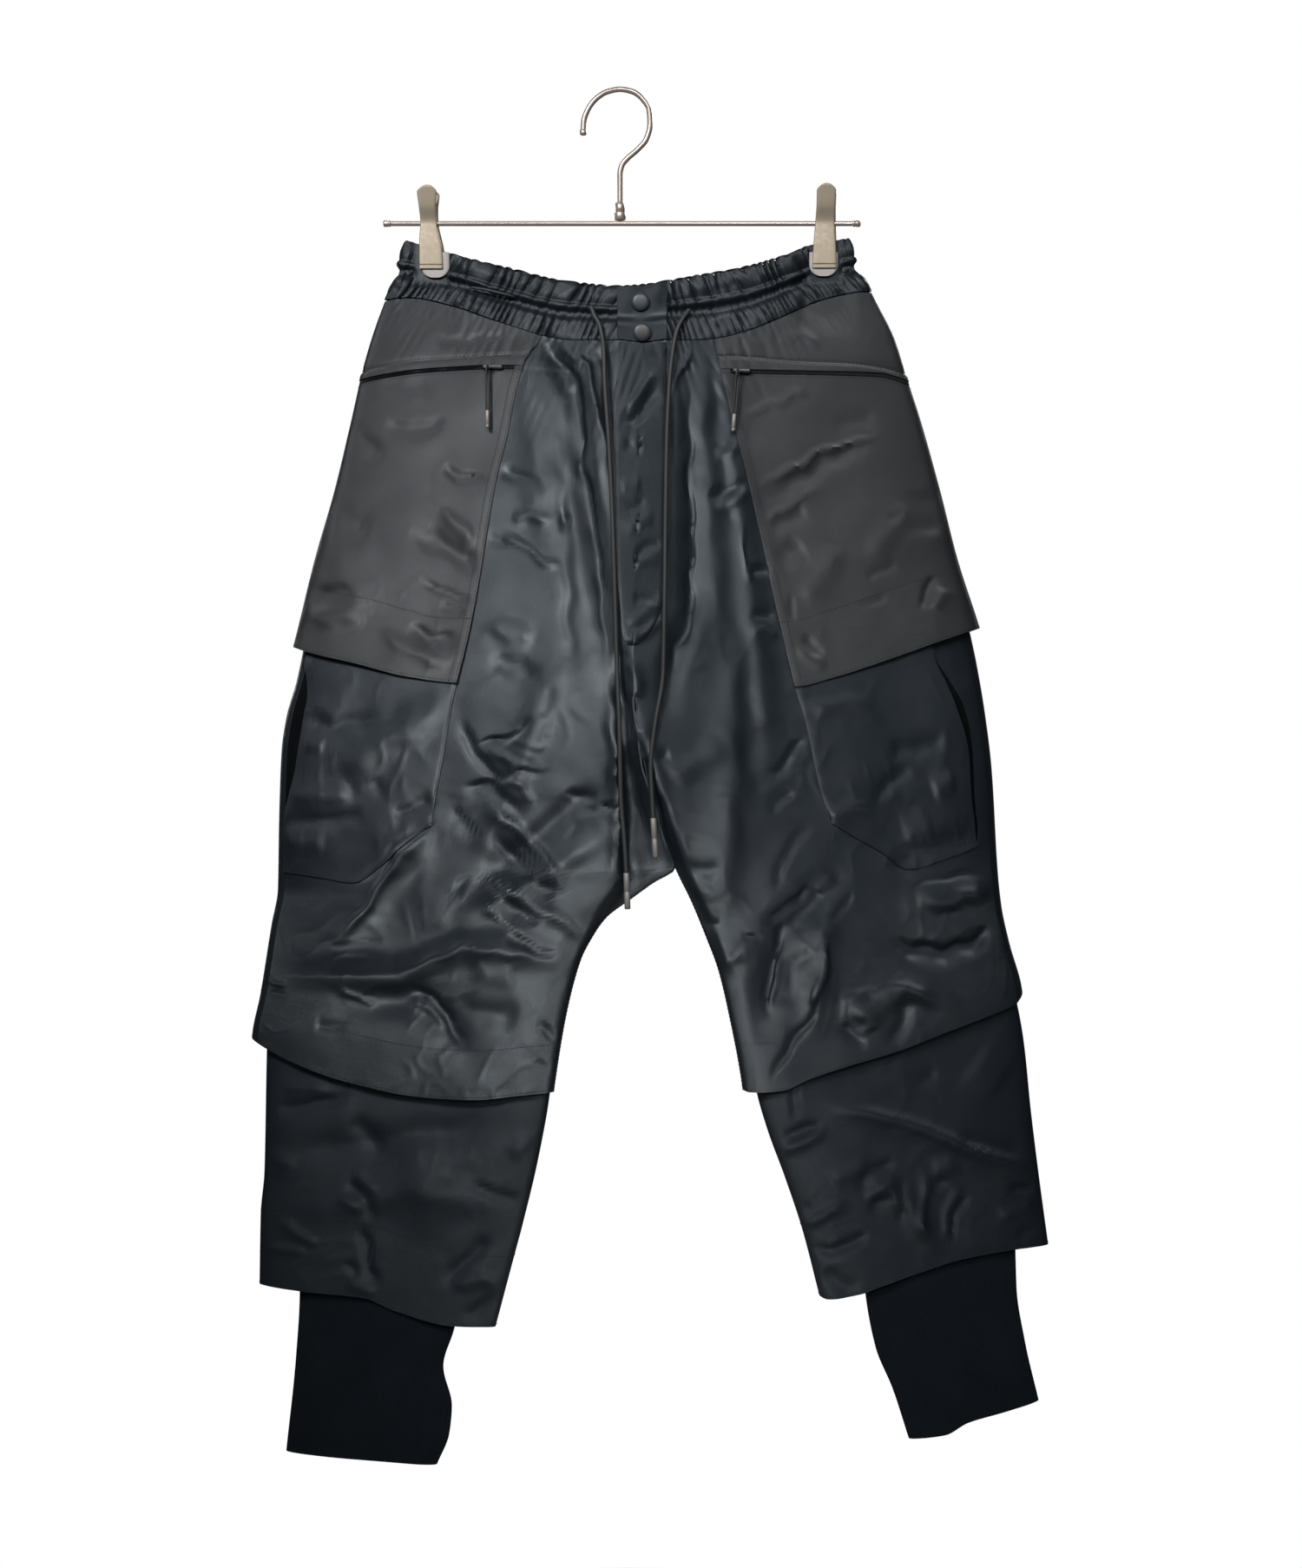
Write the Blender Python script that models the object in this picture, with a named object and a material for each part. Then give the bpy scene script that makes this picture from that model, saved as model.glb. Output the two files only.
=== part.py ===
"""Cargo trousers with two tiers of pockets, hanging flat on a clip hanger.

Sizes are in millimetres and are turned into metres when an object is made. The origin is the inside top of
the hanger's hook, +Z is up and the front of the trousers faces -Y. "_l" is the viewer's left (-X).

Every cloth piece is cut from one of three sleeves a side: the body, the lower leg and the rib cuff. A sleeve
is a flattened tube. A point on it has a place around, s, and a height, z: s runs from -1 at the inner edge
over the front to 1 at the outer edge, and on over the back to 3 at the inner edge again.
"""

import math

import bpy
import numpy as np

MM = 0.001
SIDES = ("l", "r")

# Walls and seams
CLOTH = 1.3
BAND = 1.6
RIB = 2.0
SEAM = 0.3
WAIST_GAP = 0.7
BACK_WAIST_GAP = 1.1
SECTION_POWER = 3.0
SIDE_SEAM_INSET = 6.0
HIP_WRAP = 62.0

# Hanger
BAR_RADIUS = 2.0
BAR_Z = -107.0
BAR_LEFT = -186.0
BAR_RIGHT = 189.0
HOOK_WIRE = 2.25

# Outlines of the sleeves: (height z, x of the edge)
BODY_INNER = {
    "l": [(-110, 19), (-203, 19), (-330, 15), (-472, 11), (-523, 15), (-560, 22), (-588, 31), (-609, 37),
          (-631, 45), (-643, 27), (-656, 9), (-671, -11), (-688, -23), (-706, -32), (-752, -44), (-800, -52),
          (-860, -60)],
    "r": [(-110, 19), (-203, 19), (-330, 15), (-472, 11), (-523, 15), (-560, 22), (-588, 31), (-609, 37),
          (-631, 45), (-658, 58), (-687, 70), (-714, 80), (-752, 89), (-799, 98), (-860, 106)],
}
BODY_OUTER = {
    "l": [(-110, -172), (-121, -174), (-144, -181), (-158, -184), (-172, -190), (-200, -200), (-228, -208),
          (-270, -217), (-326, -229), (-382, -243), (-452, -257), (-480, -263), (-508, -271), (-536, -275),
          (-592, -277), (-648, -278), (-676, -283), (-732, -292), (-768, -299), (-860, -302)],
    "r": [(-110, 184), (-121, 187), (-144, 193), (-158, 200), (-172, 207), (-200, 221), (-228, 230),
          (-270, 243), (-326, 257), (-382, 269), (-438, 284), (-466, 290), (-508, 297), (-550, 302),
          (-634, 307), (-662, 310), (-690, 316), (-733, 327), (-860, 331)],
}
SHIN_INNER = {
    "l": [(-700, -46), (-814, -57), (-865, -66), (-920, -79), (-950, -87), (-1003, -101)],
    "r": [(-700, 90), (-813, 111), (-844, 120), (-882, 134), (-924, 148), (-978, 162)],
}
SHIN_OUTER = {
    "l": [(-700, -284), (-776, -287), (-877, -289), (-911, -292), (-968, -293)],
    "r": [(-700, 314), (-770, 328), (-828, 334), (-877, 340), (-936, 348)],
}
CUFF_INNER = {
    "l": [(-930, -120), (-1005, -135), (-1036, -144), (-1068, -137), (-1090, -139), (-1115, -149)],
    "r": [(-890, 192), (-978, 200), (-1020, 208), (-1054, 222), (-1094, 235)],
}
CUFF_OUTER = {
    "l": [(-905, -262), (-973, -260), (-1027, -263), (-1104, -271)],
    "r": [(-880, 320), (-971, 322), (-1016, 329), (-1063, 340)],
}

# Half depths from front to back: (height z, half depth)
BODY_DEPTH = [(-110, 8), (-150, 8.5), (-175, 10), (-205, 13.5), (-230, 15.5), (-280, 17.5), (-330, 19.5),
              (-400, 22), (-480, 24), (-600, 26), (-700, 26), (-760, 25), (-830, 23)]
SHIN_DEPTH = [(-700, 15), (-800, 16), (-850, 17.5), (-900, 17), (-1000, 15)]
CUFF_DEPTH = [(-900, 12), (-980, 11), (-1110, 10)]

# How far the crotch is open from front to back: 1 above the curve, 0 below the crotch point
CROTCH_TOP = -561.0
CROTCH_POINT = -631.0

# The left thigh folds back under the fly: (height z, x of the fold) and (height z, depth of the fold)
TUCK_EDGE = [(-520, 8), (-564, 0), (-636, 1), (-658, -11), (-693, -28), (-730, -42)]
TUCK_DEPTH = [(-520, 0), (-560, 12), (-590, 18), (-650, 18), (-690, 11), (-730, 0)]

# The clips press the waist flat: x of each clip, half width pressed and half width of the run-out
CLIP_X = {"l": -153.5, "r": 166.5}
CLIP_PRESSED = 14.0
CLIP_RUN_OUT = 29.0
CLIP_PRESS = 0.68
CLIP_PRESS_TOP = -154.0
CLIP_PRESS_END = -208.0

# Level lines across each side, waist to hem: (x, height z)
LEVELS = {
    "l": {
        "band_top": [(-190, -118), (-174, -121), (-139, -132), (-108, -141), (-89, -146), (-45, -156), (-1, -160),
                     (20, -159)],
        "waist": [(-200, -171), (-190, -170), (-170, -168), (-136, -175), (-108, -185), (-80, -194), (-64, -199),
                  (-38, -203), (0, -203), (19, -205), (40, -204)],
        "zip_top": [(-213, -231), (-198, -226), (-163, -221), (-134, -219), (-108, -217), (-87, -216), (19, -223)],
        "zip_low": [(-214, -240), (-198, -236), (-163, -231), (-134, -229), (-108, -228), (-87, -228), (19, -235)],
        "hip_hem": [(-264, -449), (-251, -456), (-211, -466), (-172, -476), (-130, -481), (19, -481)],
        "pocket": [(-277, -633), (-241, -638), (-214, -642), (-193, -629), (-172, -611), (-152, -596),
                   (-100, -580), (22, -572)],
        "crotch": [(-285, -680), (-214, -680), (-150, -660), (-60, -636), (46, -630.5)],
        "hem": [(-300, -768), (-286, -776), (-266, -786), (-229, -800), (-201, -807), (-173, -813), (-144, -816),
                (-116, -817), (-79, -814), (-50, -812)],
    },
    "r": {
        "band_top": [(20, -159), (60, -152), (104, -144), (143, -131), (155, -126), (186, -119), (200, -116)],
        "waist": [(0, -204), (19, -205), (38, -203), (60, -203), (76, -202), (102, -196), (130, -185), (158, -172),
                  (183, -165), (202, -163), (210, -163)],
        "zip_top": [(19, -223), (90, -217), (109, -218), (143, -221), (186, -223), (211, -226), (233, -231)],
        "zip_low": [(19, -235), (90, -231), (134, -232), (177, -233), (211, -234), (236, -241)],
        "hip_hem": [(19, -484), (142, -484), (172, -477), (212, -464), (251, -450), (286, -437), (294, -432)],
        "pocket": [(22, -572), (120, -580), (170, -594), (187, -604), (209, -616), (232, -631), (268, -621),
                   (305, -611)],
        "crotch": [(45, -630.5), (60, -633), (150, -648), (232, -660), (312, -656)],
        "hem": [(98, -810), (105, -812), (131, -810), (154, -800), (183, -790), (223, -778), (262, -763),
                (302, -748), (321, -740), (328, -731)],
    },
}
LEG_LEVELS = {
    "l": {
        "cuff_seam": [(-292, -909), (-232, -911), (-207, -917), (-183, -928), (-147, -938), (-87, -943)],
        "shin_hem": [(-293, -968), (-255, -973), (-207, -978), (-183, -988), (-135, -1001), (-101, -1003)],
        "cuff_hem": [(-271, -1104), (-232, -1108), (-149, -1115)],
    },
    "r": {
        "cuff_seam": [(148, -924), (213, -904), (253, -884), (288, -879), (340, -877)],
        "shin_hem": [(162, -978), (168, -980), (195, -975), (213, -968), (244, -957), (275, -947), (320, -939),
                     (348, -936)],
        "cuff_hem": [(235, -1094), (264, -1090), (282, -1080), (309, -1072), (340, -1063)],
    },
}
BACK_RISE = 4.0
ZIP_SLOT = 3.4
WELT = 2.0
TAPE = 0.8

# Seam between the centre front and the hip pieces, then down through the pocket: (height z, x)
HIP_SEAM = {
    "l": [(-150, -58), (-200, -64), (-222, -77), (-245, -84), (-281, -91), (-318, -100), (-364, -108),
          (-408, -115), (-448, -123), (-484, -132), (-510, -137), (-546, -143), (-592, -151), (-700, -158),
          (-820, -165)],
    "r": [(-150, 68), (-210, 78), (-230, 82), (-280, 94), (-322, 104), (-369, 115), (-408, 123), (-442, 131),
          (-484, 141), (-510, 149), (-569, 162), (-593, 170), (-700, 190), (-820, 205)],
}

# Folds that stand out (+) or sink in (-): name, half width, height, route of (x, z)
FRONT_FOLDS = [
    ("pleat left", 9, -5.0, [(-64, -198), (-50, -222), (-37, -248), (-30, -322), (-14, -410), (-6, -485)]),
    ("pleat ridge left", 9, 4.0, [(-32, -215), (-22, -270), (-16, -330)]),
    ("knee ridge left", 11, 6.0, [(-287, -716), (-232, -716), (-178, -717), (-126, -694), (-97, -696), (-52, -702)]),
    ("knee hollow left", 14, -4.5, [(-215, -742), (-163, -736), (-135, -758), (-122, -778)]),
    ("thigh ridge left", 15, 5.0, [(-152, -598), (-190, -640), (-234, -693)]),
    ("crotch ray upper left", 10, -4.0, [(-12, -560), (-60, -600), (-110, -640)]),
    ("crotch ray lower left", 10, 4.0, [(-14, -604), (-70, -640), (-120, -668)]),
    ("thigh crease left", 11, 4.0, [(-55, -480), (-80, -545), (-105, -610)]),
    ("fly fold right", 8, -5.0, [(56, -230), (57, -350), (57, -420), (42, -466), (38, -500)]),
    ("pleat right", 10, 3.5, [(84, -240), (98, -340), (112, -460), (120, -540)]),
    ("knee slant right", 11, -5.0, [(172, -637), (156, -656), (131, -681), (119, -720), (116, -760)]),
    ("knee ridge right", 11, 6.0, [(166, -664), (162, -700), (156, -755)]),
    ("side ridge right", 11, 5.0, [(236, -657), (266, -652), (302, -648)]),
    ("side hollow right", 11, -5.0, [(219, -687), (253, -702), (282, -693), (302, -677)]),
    ("low ridge right", 10, 5.0, [(174, -740), (203, -744), (231, -726), (262, -738)]),
]
BACK_FOLDS = [
    ("seat drag left", 14, 5.0, [(-150, -330), (-90, -430), (-20, -540)]),
    ("seat drag right", 14, 5.0, [(190, -330), (130, -430), (60, -540)]),
    ("thigh hollow left", 13, -5.0, [(-60, -600), (-140, -640), (-230, -660)]),
    ("thigh hollow right", 13, -5.0, [(90, -610), (170, -650), (260, -640)]),
    ("knee ridge left back", 12, 5.0, [(-80, -730), (-160, -715), (-260, -730)]),
    ("knee ridge right back", 12, 5.0, [(110, -740), (190, -715), (280, -700)]),
]
SHIN_FOLDS = [
    ("shin ridge right", 15, 5.0, [(150, -815), (240, -840), (326, -872)]),
    ("shin crease right", 9, 3.5, [(205, -880), (235, -905), (250, -935)]),
    ("shin hollow left", 14, -4.0, [(-270, -860), (-190, -852), (-100, -838)]),
    ("shin ridge left", 13, 4.0, [(-240, -905), (-170, -890), (-110, -900)]),
]

# Waist gathers
GATHER = 1.2
# Rows of the band: share of its height, how strongly it is gathered, how far it puffs out
BAND_ROWS = [(0.0, 0.7, 0.0), (0.27, 1.0, 1.1), (0.56, 0.4, -0.8), (0.8, 0.9, 0.6), (1.0, 0.6, 0.0)]

# Colours: red, green, blue, roughness, metallic
FINISHES = {
    "satin": (0.020, 0.021, 0.023, 0.42, 0.0),
    "satin_pocket": (0.022, 0.023, 0.025, 0.40, 0.0),
    "rib": (0.010, 0.010, 0.012, 0.95, 0.0),
    "zip": (0.006, 0.006, 0.007, 0.45, 0.0),
    "cord": (0.016, 0.017, 0.019, 0.70, 0.0),
    "tip": (0.18, 0.17, 0.16, 0.35, 0.6),
    "snap": (0.030, 0.031, 0.033, 0.38, 0.5),
    "clip": (0.52, 0.48, 0.40, 0.35, 0.9),
    "pad": (0.70, 0.67, 0.60, 0.50, 0.0),
    "chrome": (0.50, 0.46, 0.42, 0.16, 1.0),
}


def smooth_table(rows, at):
    """Reads a two-column table with smooth slopes that never overshoot its rows."""
    rows = sorted(rows)
    xs = np.array([row[0] for row in rows], float)
    ys = np.array([row[1] for row in rows], float)
    steps = np.diff(xs)
    slopes = np.diff(ys) / steps
    tangents = np.concatenate([slopes[:1], np.zeros(len(xs) - 2), slopes[-1:]])
    same_way = slopes[:-1] * slopes[1:] > 0
    both = slopes[:-1] + slopes[1:]
    tangents[1:-1][same_way] = 2 * (slopes[:-1] * slopes[1:])[same_way] / both[same_way]
    at = np.clip(at, xs[0], xs[-1])
    row = np.clip(np.searchsorted(xs, at) - 1, 0, len(xs) - 2)
    width = steps[row]
    t = (at - xs[row]) / width
    start = (2 * t**3 - 3 * t**2 + 1) * ys[row] + (t**3 - 2 * t**2 + t) * width * tangents[row]
    end = (3 * t**2 - 2 * t**3) * ys[row + 1] + (t**3 - t**2) * width * tangents[row + 1]
    return start + end


def ease(value):
    """0 below 0, 1 above 1 and a soft step between."""
    value = np.clip(value, 0.0, 1.0)
    return value * value * (3 - 2 * value)


def section_table():
    """Half a flattened section by its length around: places, share of the half width, share of the depth."""
    half_width = 140.0
    half_depth = 24.0
    turn = np.linspace(0.0, math.pi / 2, 3000)
    across = np.sin(turn) ** (2 / SECTION_POWER)
    deep = np.cos(turn) ** (2 / SECTION_POWER)
    steps = np.hypot(np.diff(across) * half_width, np.diff(deep) * half_depth)
    around = np.concatenate([[0.0], np.cumsum(steps)])
    return around / around[-1], across, deep


AROUND, ACROSS, DEEP = section_table()


def place_around(across):
    """The place s on the front for a share of the half width from -1 to 1."""
    return np.sign(across) * np.interp(np.abs(across), ACROSS, AROUND)


def section(s, crotch_open):
    """Share of the half width, share of the half depth and the face (-1 front, 1 back) at a place s."""
    s = (s + 1) % 4 - 1
    face = np.where(s <= 1, -1.0, 1.0)
    t = np.where(s <= 1, s, 2 - s)
    across = np.sign(t) * np.interp(np.abs(t), AROUND, ACROSS)
    deep = np.interp(np.abs(t), AROUND, DEEP) ** SECTION_POWER
    held_open = crotch_open**SECTION_POWER
    deep = np.where(t < 0, deep * (1 - held_open) + held_open, deep)
    return across, deep ** (1 / SECTION_POWER), face


def fold_height(folds, x, z):
    """How far the folds lift the cloth at x, z."""
    height = np.zeros(np.shape(x))
    for _name, half_width, lift, route in folds:
        nearest = np.full(np.shape(x), 1e9)
        along = np.zeros(np.shape(x))
        for number in range(len(route) - 1):
            start = np.array(route[number], float)
            run = np.array(route[number + 1], float) - start
            share = ((x - start[0]) * run[0] + (z - start[1]) * run[1]) / run.dot(run)
            share = np.clip(share, 0.0, 1.0)
            away = np.hypot(x - start[0] - share * run[0], z - start[1] - share * run[1])
            closer = away < nearest
            nearest = np.where(closer, away, nearest)
            along = np.where(closer, (number + share) / (len(route) - 1), along)
        ends = ease(along / 0.25) * ease((1 - along) / 0.25)
        height += lift * np.exp(-((nearest / half_width) ** 2)) * (0.35 + 0.65 * ends)
    return height


def crotch_open(z):
    """1 where the two sides are one tube, falling to 0 at the crotch point as a quarter round."""
    down = np.clip((CROTCH_TOP - z) / (CROTCH_TOP - CROTCH_POINT), 0.0, 1.0)
    return np.sqrt(1 - down**2)


def clip_press(x, z):
    """Factor on the depth where the clips press the waist flat."""
    factor = 1.0
    low = ease((z - CLIP_PRESS_END) / (CLIP_PRESS_TOP - CLIP_PRESS_END))
    for clip in CLIP_X.values():
        near = 1 - ease((np.abs(x - clip) - CLIP_PRESSED) / (CLIP_RUN_OUT - CLIP_PRESSED))
        factor = factor - CLIP_PRESS * near * low
    return factor


def tuck(side, x, z):
    """How far the front is folded back beside the crotch."""
    if side == "l":
        inside = ease((x - smooth_table(TUCK_EDGE, z) + 4) / 13)
    else:
        inside = 1 - ease((x - smooth_table(BODY_INNER["r"], z)) / 12)
    return smooth_table(TUCK_DEPTH, z) * inside


def body_point(side, s, z):
    """A point on the body sleeve."""
    inner = smooth_table(BODY_INNER[side], z)
    outer = smooth_table(BODY_OUTER[side], z)
    opened = crotch_open(z)
    across, deep, face = section(s, opened)
    x = (inner + outer) / 2 + (outer - inner) / 2 * across
    depth = smooth_table(BODY_DEPTH, z) * clip_press(x, z)
    depth = np.where(face < 0, depth - tuck(side, x, z), depth)
    lift = np.where(face < 0, fold_height(FRONT_FOLDS, x, z), fold_height(BACK_FOLDS, x, z))
    away_from_side = ease((1 - across) * np.abs(outer - inner) / 2 / 22)
    away_from_crotch = np.maximum(opened, ease((1 + across) * np.abs(outer - inner) / 2 / 22))
    y = face * (depth * deep + lift * away_from_side * away_from_crotch)
    return np.stack([x, y, z + 0 * x], -1)


def leg_point(side, s, z, inner_rows, outer_rows, depth_rows, folds):
    """A point on a sleeve below the crotch."""
    inner = smooth_table(inner_rows[side], z)
    outer = smooth_table(outer_rows[side], z)
    across, deep, face = section(s, 0.0 * z)
    x = (inner + outer) / 2 + (outer - inner) / 2 * across
    lift = fold_height(folds, x, z) * ease((1 - np.abs(across)) * np.abs(outer - inner) / 2 / 22)
    y = face * (smooth_table(depth_rows, z) * deep + lift)
    return np.stack([x, y, z + 0 * x], -1)


def shin_point(side, s, z):
    """A point on the lower leg."""
    return leg_point(side, s, z, SHIN_INNER, SHIN_OUTER, SHIN_DEPTH, SHIN_FOLDS)


def cuff_point(side, s, z):
    """A point on the rib cuff."""
    return leg_point(side, s, z, CUFF_INNER, CUFF_OUTER, CUFF_DEPTH, [])


def outward(point_at, side, s, z):
    """Unit vectors that point out of a sleeve."""
    step_around = 0.03
    step_down = 3.0
    around = point_at(side, s + step_around, z) - point_at(side, s - step_around, z)
    up = point_at(side, s, z + step_down) - point_at(side, s, z - step_down)
    normal = np.cross(around, up)
    if side == "l":
        normal = -normal
    return normal / np.linalg.norm(normal, axis=-1, keepdims=True)


def moved_out(point_at, side, s, z, distance):
    """Points of a sleeve, moved out along its normals."""
    distance = np.asarray(distance, float)[..., None]
    return point_at(side, s, z) + outward(point_at, side, s, z) * distance


def level(side, name, x):
    """Height of a named level line at x."""
    return smooth_table(LEVELS[side][name], x)


def rows_between(side, lines, counts):
    """A function of x for each row of a panel: `counts[i]` rows from line i to the next."""
    rows = []
    for number, count in enumerate(counts):
        for step in range(count):
            rows.append((lines[number], lines[number + 1], step / count))
    rows.append((lines[-1], lines[-1], 0.0))

    def heights(x):
        found = np.zeros(np.shape(x))
        for index, (above, below, share) in enumerate(rows):
            found[index] = (1 - share) * above(x[index]) + share * below(x[index])
        return found

    return heights, len(rows)


def line(side, name, shift=0.0):
    """A level line as a function of x, moved up by `shift`."""
    return lambda x: level(side, name, x) + shift


def at_x(side, table):
    """Place s on the front at the x that a table gives for a height."""

    def place(z):
        return front_place(side, smooth_table(table, z), z)

    return place


def front_place(side, x, z):
    """Place s on the front of the body at x, z."""
    inner = smooth_table(BODY_INNER[side], z)
    outer = smooth_table(BODY_OUTER[side], z)
    return place_around(np.clip((x - (inner + outer) / 2) / ((outer - inner) / 2), -1, 1))


def from_side(side, inset, z):
    """Place s on the front that lies `inset` inside the outline."""
    half_width = np.abs(smooth_table(BODY_OUTER[side], z) - smooth_table(BODY_INNER[side], z)) / 2
    return place_around(1 - inset / half_width)


def stations(places, counts):
    """A function of z that gives the place s of every column: `counts[i]` columns from place i to the next."""

    def columns(z):
        found = np.zeros(np.shape(z))
        column = 0
        for number, count in enumerate(counts):
            for step in range(count + 1):
                share = step / count
                here = z[:, column + step]
                found[:, column + step] = (1 - share) * places[number](here) + share * places[number + 1](here)
            column += count
        return found

    return columns, sum(counts) + 1


def settle(side, columns, column_count, heights, row_count, point_at=body_point):
    """Places and heights of a panel's grid, where its columns cross its rows."""
    z = np.full((row_count, column_count), -400.0)
    for _ in range(14):
        s = columns(z)
        z = heights(point_at(side, s, z)[..., 0])
    return s, z


# Places of the seams around the body, as functions of the height
HALF_GAP = SEAM / 2 / 140


def inner_front(z):
    return np.full(np.shape(z), -1 + HALF_GAP)


def inner_back(z):
    return np.full(np.shape(z), 3 - HALF_GAP)


def side_seam(side, shift):
    return lambda z: from_side(side, SIDE_SEAM_INSET, z) + shift


def outline(z):
    return np.ones(np.shape(z))


def hip_wrap(side):
    return lambda z: 2 - from_side(side, HIP_WRAP, z)


def new_material(name):
    red, green, blue, roughness, metallic = FINISHES[name]
    material = bpy.data.materials.get(name) or bpy.data.materials.new(name)
    material.use_nodes = True
    shader = material.node_tree.nodes["Principled BSDF"]
    shader.inputs["Base Color"].default_value = (red, green, blue, 1.0)
    shader.inputs["Roughness"].default_value = roughness
    shader.inputs["Metallic"].default_value = metallic
    return material


def add_mesh(name, points, faces, finish, pivot=(0, 0, 0)):
    """Makes an object from points in millimetres, with its origin at the pivot, facing outwards."""
    points = np.asarray(points, float)
    corners = points[np.asarray(faces)[:, :3]]
    volume = np.einsum("ij,ij->i", corners[:, 0], np.cross(corners[:, 1], corners[:, 2])).sum()
    if volume < 0:
        faces = [face[::-1] for face in faces]
    mesh = bpy.data.meshes.new(name)
    mesh.from_pydata(((points - np.array(pivot)) * MM).tolist(), [], [list(map(int, face)) for face in faces])
    mesh.shade_smooth()
    mesh.set_sharp_from_angle(angle=math.radians(40))
    mesh.materials.append(new_material(finish))
    made = bpy.data.objects.new(name, mesh)
    made.location = np.array(pivot) * MM
    bpy.context.scene.collection.objects.link(made)
    return made


def wall(name, outer, inner, finish, closed=False):
    """A sheet with thickness between two grids of points; `closed` joins the last column to the first."""
    rows, columns = outer.shape[:2]
    count = rows * columns
    points = np.concatenate([outer.reshape(-1, 3), inner.reshape(-1, 3)])
    faces = []
    last = columns if closed else columns - 1
    for row in range(rows - 1):
        for column in range(last):
            a = row * columns + column
            b = row * columns + (column + 1) % columns
            c = b + columns
            d = a + columns
            faces += [(a, b, c), (a, c, d)]
            faces += [(a + count, c + count, b + count), (a + count, d + count, c + count)]
    rim = [(column, (column + 1) % columns) for column in range(last)]
    rim += [((rows - 1) * columns + b, (rows - 1) * columns + a) for a, b in rim]
    if not closed:
        rim += [(row * columns, (row - 1) * columns) for row in range(1, rows)]
        rim += [((row - 1) * columns + columns - 1, row * columns + columns - 1) for row in range(1, rows)]
    for a, b in rim:
        faces += [(b, a, a + count), (b, a + count, b + count)]
    return add_mesh(name, points, faces, finish)


BODY_LINES = ("waist", "zip_top", "zip_slot", "zip_low", "hip_hem", "pocket", "crotch", "hem")
BODY_ROWS = (3, 1, 1, 6, 4, 3, 5)
FRONT_COLUMNS = (8, 6)
BACK_COLUMNS = (1, 3, 5)
SEAT_ROWS = 2


def body_lines(side, top_gap):
    """The body's level lines as functions of x, the zip's slot included."""
    lines = {name: line(side, name) for name in BODY_LINES if name != "zip_slot"}
    lines["waist"] = line(side, "waist", -top_gap)
    lines["zip_slot"] = line(side, "zip_low", ZIP_SLOT)
    return [lines[name] for name in BODY_LINES]


def front_grid(side):
    """Places and heights of the front panel's grid."""
    places = [inner_front, at_x(side, HIP_SEAM[side]), side_seam(side, -HALF_GAP)]
    columns, column_count = stations(places, FRONT_COLUMNS)
    heights, row_count = rows_between(side, body_lines(side, WAIST_GAP), BODY_ROWS)
    return settle(side, columns, column_count, heights, row_count)


def back_grid(side):
    """Places and heights of the back panel's grid."""
    places = [side_seam(side, HALF_GAP), outline, hip_wrap(side), inner_back]
    columns, column_count = stations(places, BACK_COLUMNS)
    heights, row_count = rows_between(side, body_lines(side, BACK_WAIST_GAP), BODY_ROWS)
    return settle(side, columns, column_count, heights, row_count)


def row_of(name):
    """Number of the grid row on a level line."""
    return sum(BODY_ROWS[: BODY_LINES.index(name)])


def make_body(side):
    """Front and back panels."""
    for name, (s, z) in (("front", front_grid(side)), ("back", back_grid(side))):
        outer = body_point(side, s, z)
        inner = moved_out(body_point, side, s, z, np.full(s.shape, -CLOTH))
        wall(f"{name}_{side}", outer, inner, "satin")


def hip_lift(side, s, z, x):
    """Height of the hip pieces' inner face over the body: seated at the seam, flared at the side and hem."""
    hem = level(side, "hip_hem", x)
    top = level(side, "zip_low", x)
    down = np.clip((top - z) / (top - hem), 0.0, 1.0)
    seam = front_place(side, smooth_table(HIP_SEAM[side], z), z)
    toward_side = ease((s - seam) / (1 - seam))
    past_side = 1 - 0.75 * ease((s - 1.1) / 0.45)
    return SEAM + 0.2 * toward_side + down**1.3 * (1.9 + 5.0 * toward_side * past_side)


def hip_block(side, first, last, gap_above, gap_below):
    """Grid of a hip piece between two rows: the front's outer columns, then the back's up to the wrap."""
    front_s, front_z = front_grid(side)
    back_s, back_z = back_grid(side)
    rows = slice(row_of(first), row_of(last) + 1)
    wrap = BACK_COLUMNS[0] + BACK_COLUMNS[1] + 1
    s = np.concatenate([front_s[rows, FRONT_COLUMNS[0]:], back_s[rows, 1:wrap]], 1)
    z = np.concatenate([front_z[rows, FRONT_COLUMNS[0]:], back_z[rows, 1:wrap]], 1)
    s[:, FRONT_COLUMNS[1]] += HALF_GAP
    z[0] -= gap_above
    z[-1] += gap_below
    return s, z


def make_hip_piece(name, side, block, thickness, finish):
    """A piece of the hip layer, moved out from the body's points."""
    s, z = block
    x = body_point(side, s, z)[..., 0]
    lift = hip_lift(side, s, z, x)
    inner = moved_out(body_point, side, s, z, lift)
    outer = moved_out(body_point, side, s, z, lift + thickness)
    wall(f"{name}_{side}", outer, inner, finish)


def make_hip(side):
    """Yoke, the folded lip over the zip, the closed zip and the flared panel below."""
    half = SEAM / 2
    make_hip_piece("hip_yoke", side, hip_block(side, "waist", "zip_top", SEAM, half), CLOTH, "satin_pocket")
    make_hip_piece("zip_welt", side, hip_block(side, "zip_top", "zip_slot", half, half), WELT, "satin_pocket")
    make_hip_piece("zip_tape", side, hip_block(side, "zip_slot", "zip_low", half, half), TAPE, "zip")
    make_hip_piece("hip_panel", side, hip_block(side, "zip_low", "hip_hem", half, 0.0), CLOTH, "satin_pocket")


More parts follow.
